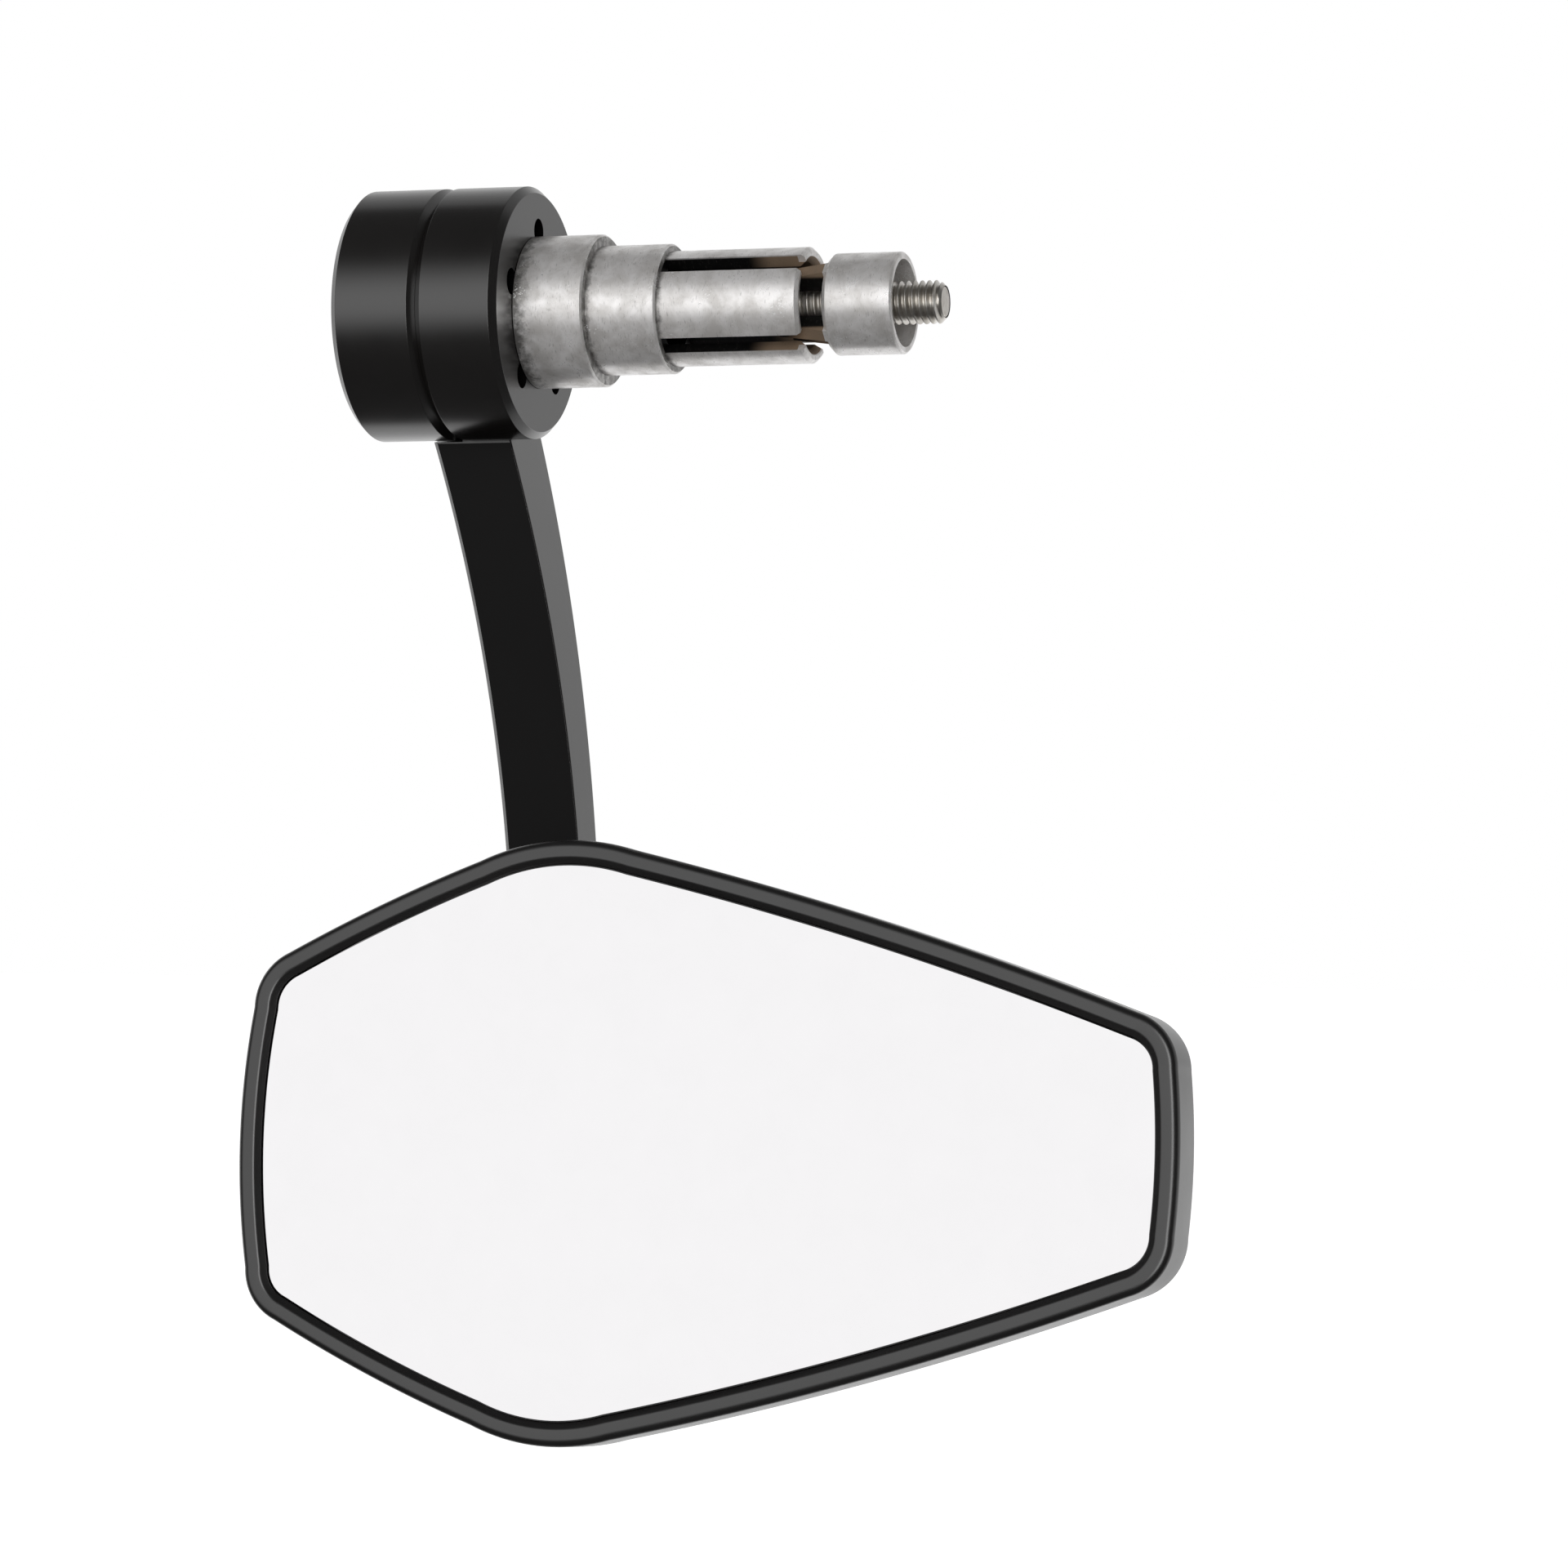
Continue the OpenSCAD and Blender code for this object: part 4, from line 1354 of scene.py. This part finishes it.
@dataclass
class HeadAssembly(Assembly):
    """Housing, convex glass and the parts between them."""

    size: HeadSize = HeadSize()
    title = "head"

    def __post_init__(self) -> None:
        """Works out the outline and the place of the head."""
        self.outline = self._outline()
        self.normals = self._normals()
        turn = Matrix.Rotation(math.radians(90 - self.size.tilt), 4, "X")
        self.place = Matrix.Translation(Vector(self.size.pivot)) @ turn

    def build(self) -> None:
        """Makes the housing and the glass, and keeps the inner parts."""
        self._housing()
        self._glass()
        for node, finish, slot in (
            ("ball_liner", Finishes.ACETAL, Slot.WHITE),
            ("ball_cup", Finishes.ACETAL, Slot.WHITE),
            ("spring_washer", Finishes.SCREW, Slot.SCREW),
            ("clamp_plate", Finishes.WASHER, Slot.WASHER),
            ("clamp_plate_screws", Finishes.BLACK_SCREW, Slot.BLACK_SCREW),
            ("carrier", Finishes.NYLON, Slot.CARRIER),
            ("carrier_screws", Finishes.BLACK_SCREW, Slot.BLACK_SCREW),
            ("adhesive_pad", Finishes.FOAM, Slot.PAD),
        ):
            self.keep(node, finish, slot)

    def _outline(self) -> List[Point2]:
        """Rounds and bows the six-cornered outline.

        Returns:
            Points of the outline, counter-clockwise.
        """
        s = self.size
        count = len(s.corners)
        spots = [Vector((corner.x, corner.y)) for corner in s.corners]
        out: List[Point2] = []
        for i, corner in enumerate(s.corners):
            following = s.corners[(i + 1) % count]
            a, b, c, d = (spots[(i + k) % count] for k in (-1, 0, 1, 2))
            u, v = (a - b).normalized(), (c - b).normalized()
            angle, radius = u.angle(v), corner.radius
            centre = b + (u + v).normalized() * radius / math.sin(angle / 2)
            p0 = b + u * radius / math.tan(angle / 2) - centre
            start, sweep = math.atan2(p0.y, p0.x), math.pi - angle
            for k in range(s.arc_steps + 1):
                t = start + sweep * k / s.arc_steps
                out.append((centre.x + radius * math.cos(t), centre.y + radius * math.sin(t)))
            q0 = Vector(out[-1])
            q1 = c - v * following.radius / math.tan((b - c).angle(d - c) / 2)
            side = (q1 - q0).normalized()
            for k in range(1, s.side_steps + 1):
                f = k / (s.side_steps + 1)
                q = q0 + (q1 - q0) * f + Vector((side.y, -side.x)) * corner.bow * 4 * f * (1 - f)
                out.append((q.x, q.y))
        return out

    def _normals(self) -> List[Point2]:
        """Gives the outward direction at each outline point.

        Returns:
            Unit vectors in outline order.
        """
        count = len(self.outline)
        out = []
        for i in range(count):
            d = Vector(self.outline[(i + 1) % count]) - Vector(self.outline[i - 1])
            d.normalize()
            out.append((d.y, -d.x))
        return out

    def point(self, x: float, y: float, n: float) -> Point3:
        """Turns a point of the head, n in front of the ball centre, into the row frame."""
        return tuple(self.place @ Vector((x, y, n)))

    def shrunk(self, inset: float, scale: float = 1.0, centre: Point2 = (0.0, 0.0)) -> List[Point2]:
        """Moves the outline inwards and shrinks it.

        Args:
            inset: Distance inside the outline.
            scale: Shrink about the centre.
            centre: Centre of the shrink.

        Returns:
            Points in the head's own plane.
        """
        out = []
        for (x, y), (nx, ny) in zip(self.outline, self.normals):
            px, py = x - nx * inset, y - ny * inset
            out.append((centre[0] + (px - centre[0]) * scale, centre[1] + (py - centre[1]) * scale))
        return out

    def ring(self, height: float, inset: float, scale: float = 1.0) -> List[Point3]:
        """Makes one ring of the housing at a height in front of the ball centre."""
        return [self.point(x, y, height) for x, y in self.shrunk(inset, scale)]

    def _housing(self) -> None:
        """Skins the shell from its back, over the rim and into the pocket."""
        s = self.size
        levels = [self.ring(n, s.dome_in, share) for n, share in (*s.dome, s.dome_end)]
        levels += [self.ring(n, inset) for n, inset in s.wall]
        for k in range(s.rim_steps + 1):
            a = math.radians(90 * k / s.rim_steps)
            drop, inset = s.rim_round * (1 - math.sin(a)), s.rim_round * (1 - math.cos(a))
            levels.append(self.ring(s.rim_n - drop, inset))
        levels += [self.ring(s.rim_n - drop, s.band_in + inset) for drop, inset in s.lip]
        levels += [self.ring(n, s.pocket_in) for n in (s.rim_n - s.lip_depth, s.pocket_floor)]
        inner = reversed(s.dome)
        levels += [self.ring(n + s.shell_t, s.inner_in, min(share, s.inner_share)) for n, share in inner]
        shell = MeshKit.rings("housing_shell", levels, sharp=s.sharp)
        boss = [[self.point(x, y, n) for x, y in MeshKit.circle(radius, 128)] for n, radius in s.boss]
        MeshKit.combine(shell, [MeshKit.rings("boss", boss)], Work.UNITE, s.sharp)
        ball = [self._arc(s.seat_r, 180 * k / 24) for k in range(25)]
        seat = MeshKit.lathe("ball_seat", ball, 64, Ends.OPEN)
        # Room for the liner above the seat, with a flat floor
        low = math.degrees(math.acos(s.room_floor / s.room_r))
        arc = [self._arc(s.room_r, low * (1 - k / 18)) for k in range(19)]
        room = MeshKit.lathe("liner_room", [(s.room_floor, 0.0), *arc], 64, Ends.OPEN)
        centre = Matrix.Translation(Vector(s.pivot) * MM)
        seat.data.transform(centre)
        turn = self.place.to_3x3().to_4x4()
        room.data.transform(centre @ turn @ Matrix.Rotation(math.radians(-90), 4, "Y"))
        ends = [self.point(0, 0, n) for n in (*s.opening_n, *s.cup_n)]
        cutters = [
            MeshKit.rod("opening", ends[0], ends[1], s.opening_r, 64),
            seat,
            room,
            MeshKit.rod("cup_seat", ends[2], ends[3], s.cup_r, 64),
        ]
        MeshKit.combine(shell, cutters, Work.CUT, s.sharp)
        self.dress(shell, Finishes.HOUSING, Body.HEAD, Slot.HOUSING, "housing")

    @staticmethod
    def _arc(radius: float, degrees: float) -> Point2:
        """Gives a point of a circle for the lathe, by its angle from the X axis."""
        t = math.radians(degrees)
        return radius * math.cos(t), radius * math.sin(t)

    def _glass_ring(self, scale: float, depth: float, extra: float = 0.0) -> List[Point3]:
        """Makes one ring on the convex face, or below it.

        Args:
            scale: Shrink about the glass centre.
            depth: Depth below the convex face.
            extra: Further inset from the outline.

        Returns:
            Ring points.
        """
        s = self.size
        (cx, cy), r = s.glass_c, s.glass_r - depth
        out = []
        for x, y in self.shrunk(s.pocket_in + s.glass_gap + extra, scale, s.glass_c):
            n = s.glass_top - s.glass_r + math.sqrt(r * r - (x - cx) ** 2 - (y - cy) ** 2)
            out.append(self.point(x, y, n))
        return out

    def _glass(self) -> None:
        """Makes the convex glass with a ground edge."""
        s = self.size
        levels = [self._glass_ring(k / s.glass_steps, s.glass_t) for k in range(1, s.glass_steps)]
        # Depth and further inset round the edge, from the back to the face
        edge = ((s.glass_t, 0.2), (s.glass_t - 0.2, 0.0), (0.25, 0.0), (0.07, 0.05), (0.0, 0.22))
        levels += [self._glass_ring(1.0, depth, extra) for depth, extra in edge]
        levels += [self._glass_ring(k / s.glass_steps, 0.0) for k in range(s.glass_steps - 1, 0, -1)]
        glass = MeshKit.rings("glass", levels, sharp=16)
        self.dress(glass, Finishes.MIRROR, Body.HEAD, Slot.MIRROR, "mirror_glass")


@dataclass(frozen=True)
class Lamp:
    """A soft light as the part sees it.

    Args:
        level: Brightness as a mirror shows it.
        sides: Start and end of the rise, then of the fall, in degrees towards the bar's side.
        heights: The same four angles above the horizon.
    """

    level: float
    sides: Window
    heights: Window


@dataclass(frozen=True)
class StudioSize:
    """Camera in metres and degrees, floor in millimetres, and brightness as a mirror shows it."""

    camera: Point3 = (0.271183, -0.727420, -0.064381)
    azimuth: float = 17.917
    elevation: float = 0.1057
    lens: float = 127.471
    sensor: float = 36.0
    clip: Point2 = (0.05, 50.0)
    floor_z: float = -450.0
    floor_near: float = 700.0
    floor_far: float = 9000.0
    room: float = 0.08
    box: Lamp = Lamp(1.27, (-65, -45, 2, 14), (-24, 3, 14, 48))
    strip: Lamp = Lamp(4.4, (3, 9, 24, 32), (-26, -10, 22, 40))
    wall: float = 1.04
    wall_side: float = 0.66
    wall_x: Point2 = (-0.1, 0.3)
    wall_reach: float = 0.94
    wall_slopes: Point2 = (-0.38, 0.565)
    wall_edge: float = 0.03
    ceiling: float = 0.42
    ceiling_z: Point2 = (0.25, 0.9)


@dataclass
class Studio:
    """Floor, surroundings and camera."""

    size: StudioSize = StudioSize()

    def build(self) -> None:
        """Sets everything up."""
        self._floor()
        self._world()
        self._camera()
        view = bpy.context.scene.view_settings
        view.view_transform = "Standard"
        view.look = "None"
        view.exposure = 0.0
        view.gamma = 1.0
        log.info("studio ready")

    def _floor(self) -> None:
        """Lays a wide matt white floor below and behind the part."""
        z, near, far = self.size.floor_z, self.size.floor_near, self.size.floor_far
        corners = [(-far, near, z), (far, near, z), (far, far, z), (-far, far, z)]
        floor = MeshKit.store("floor", corners, [(0, 1, 2, 3)])
        floor.data.materials.append(MATERIALS.get(Finishes.FLOOR))

    @staticmethod
    def _window(tree: Tree, angle: Node, edges: Window) -> Node:
        """Makes a soft-edged band of an angle.

        Args:
            tree: Node tree that gets the nodes.
            angle: Node that gives the angle in radians.
            edges: Start and end of the rise, then of the fall, in degrees.

        Returns:
            A node that gives 1 inside the band and 0 outside it.
        """
        up, full, down, off = (math.radians(edge) for edge in edges)
        rise = add_node(tree, RANGE, {0: angle, 1: up, 2: full}, **SMOOTH)
        fall = add_node(tree, RANGE, {0: angle, 1: down, 2: off, 3: 1.0, 4: 0.0}, **SMOOTH)
        return add_node(tree, MATH, {0: rise, 1: fall}, operation="MULTIPLY")

    def _world(self) -> None:
        """Lights the part with a white wall behind it, and a soft box and a strip in a dim room."""
        s = self.size
        world = bpy.data.worlds.new("studio")
        bpy.context.scene.world = world
        world.use_nodes = True
        tree = world.node_tree
        tree.nodes.clear()
        ways = add_node(tree, "ShaderNodeTexCoord").outputs["Generated"]
        x, y, z = add_node(tree, SPLIT, {0: ways}).outputs
        height = add_node(tree, MATH, {0: z}, operation="ARCSINE")
        ahead = add_node(tree, MATH, {0: y, 1: -1.0}, operation="MULTIPLY")
        side = add_node(tree, MATH, {0: x, 1: ahead}, operation="ARCTAN2")
        # The strip on the bar's side draws a line along the rounded rim
        front: object = s.room
        for lamp in (s.box, s.strip):
            wide, tall = self._window(tree, side, lamp.sides), self._window(tree, height, lamp.heights)
            lit = add_node(tree, MATH, {0: wide, 1: tall}, operation="MULTIPLY")
            front = add_node(tree, MATH, {0: lit, 1: lamp.level, 2: front}, operation="MULTIPLY_ADD")
        # The wall is brightest behind the part as the camera sees it, and dims to the ceiling
        tops = [add_node(tree, MATH, {0: z, 1: slope}, operation="MULTIPLY") for slope in s.wall_slopes]
        tilt = add_node(tree, MATH, dict(enumerate(tops)), operation="MINIMUM")
        depth = add_node(tree, MATH, {0: y, 1: s.wall_reach, 2: tilt}, operation="MULTIPLY_ADD")
        on_wall = add_node(tree, RANGE, {0: depth, 1: 0.0, 2: s.wall_edge}, **SMOOTH)
        ends = {1: s.wall_x[0], 2: s.wall_x[1], 3: s.wall, 4: s.wall_side}
        across = add_node(tree, RANGE, {0: x, **ends}, **SMOOTH)
        up = add_node(tree, RANGE, {0: z, 1: s.ceiling_z[0], 2: s.ceiling_z[1]}, **SMOOTH)
        wall = add_node(tree, MIX, {0: up, 2: across, 3: s.ceiling}, data_type="FLOAT")
        seen = add_node(tree, MIX, {0: on_wall, 2: front, 3: wall}, data_type="FLOAT")
        # Camera rays see plain white all round, so that every view has the photo's backdrop
        camera = add_node(tree, "ShaderNodeLightPath").outputs["Is Camera Ray"]
        level = add_node(tree, MIX, {0: camera, 2: seen, 3: 1.0}, data_type="FLOAT")
        light = add_node(tree, "ShaderNodeBackground", {"Color": (1, 1, 1, 1), "Strength": level})
        add_node(tree, "ShaderNodeOutputWorld", {"Surface": light})

    def _camera(self) -> None:
        """Places the camera at the picture's angle."""
        s = self.size
        data = bpy.data.cameras.new("camera")
        data.sensor_width = s.sensor
        data.lens = s.lens
        data.clip_start, data.clip_end = s.clip
        camera = bpy.data.objects.new("camera", data)
        bpy.context.scene.collection.objects.link(camera)
        a, e = math.radians(s.azimuth), math.radians(s.elevation)
        back = Vector((math.sin(a) * math.cos(e), -math.cos(a) * math.cos(e), math.sin(e)))
        camera.location = s.camera
        camera.rotation_mode = "QUATERNION"
        camera.rotation_quaternion = (-back).to_track_quat("-Z", "Y")
        bpy.context.scene.camera = camera


def main() -> None:
    """Builds the finished object and its studio."""
    logging.basicConfig(level=logging.INFO, format="%(message)s")
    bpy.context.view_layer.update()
    assemblies: List[Assembly] = [InsertAssembly(), ArmAssembly(), HeadAssembly()]
    for assembly in assemblies:
        assembly.build()
    Studio().build()


if __name__ == "__main__":
    main()
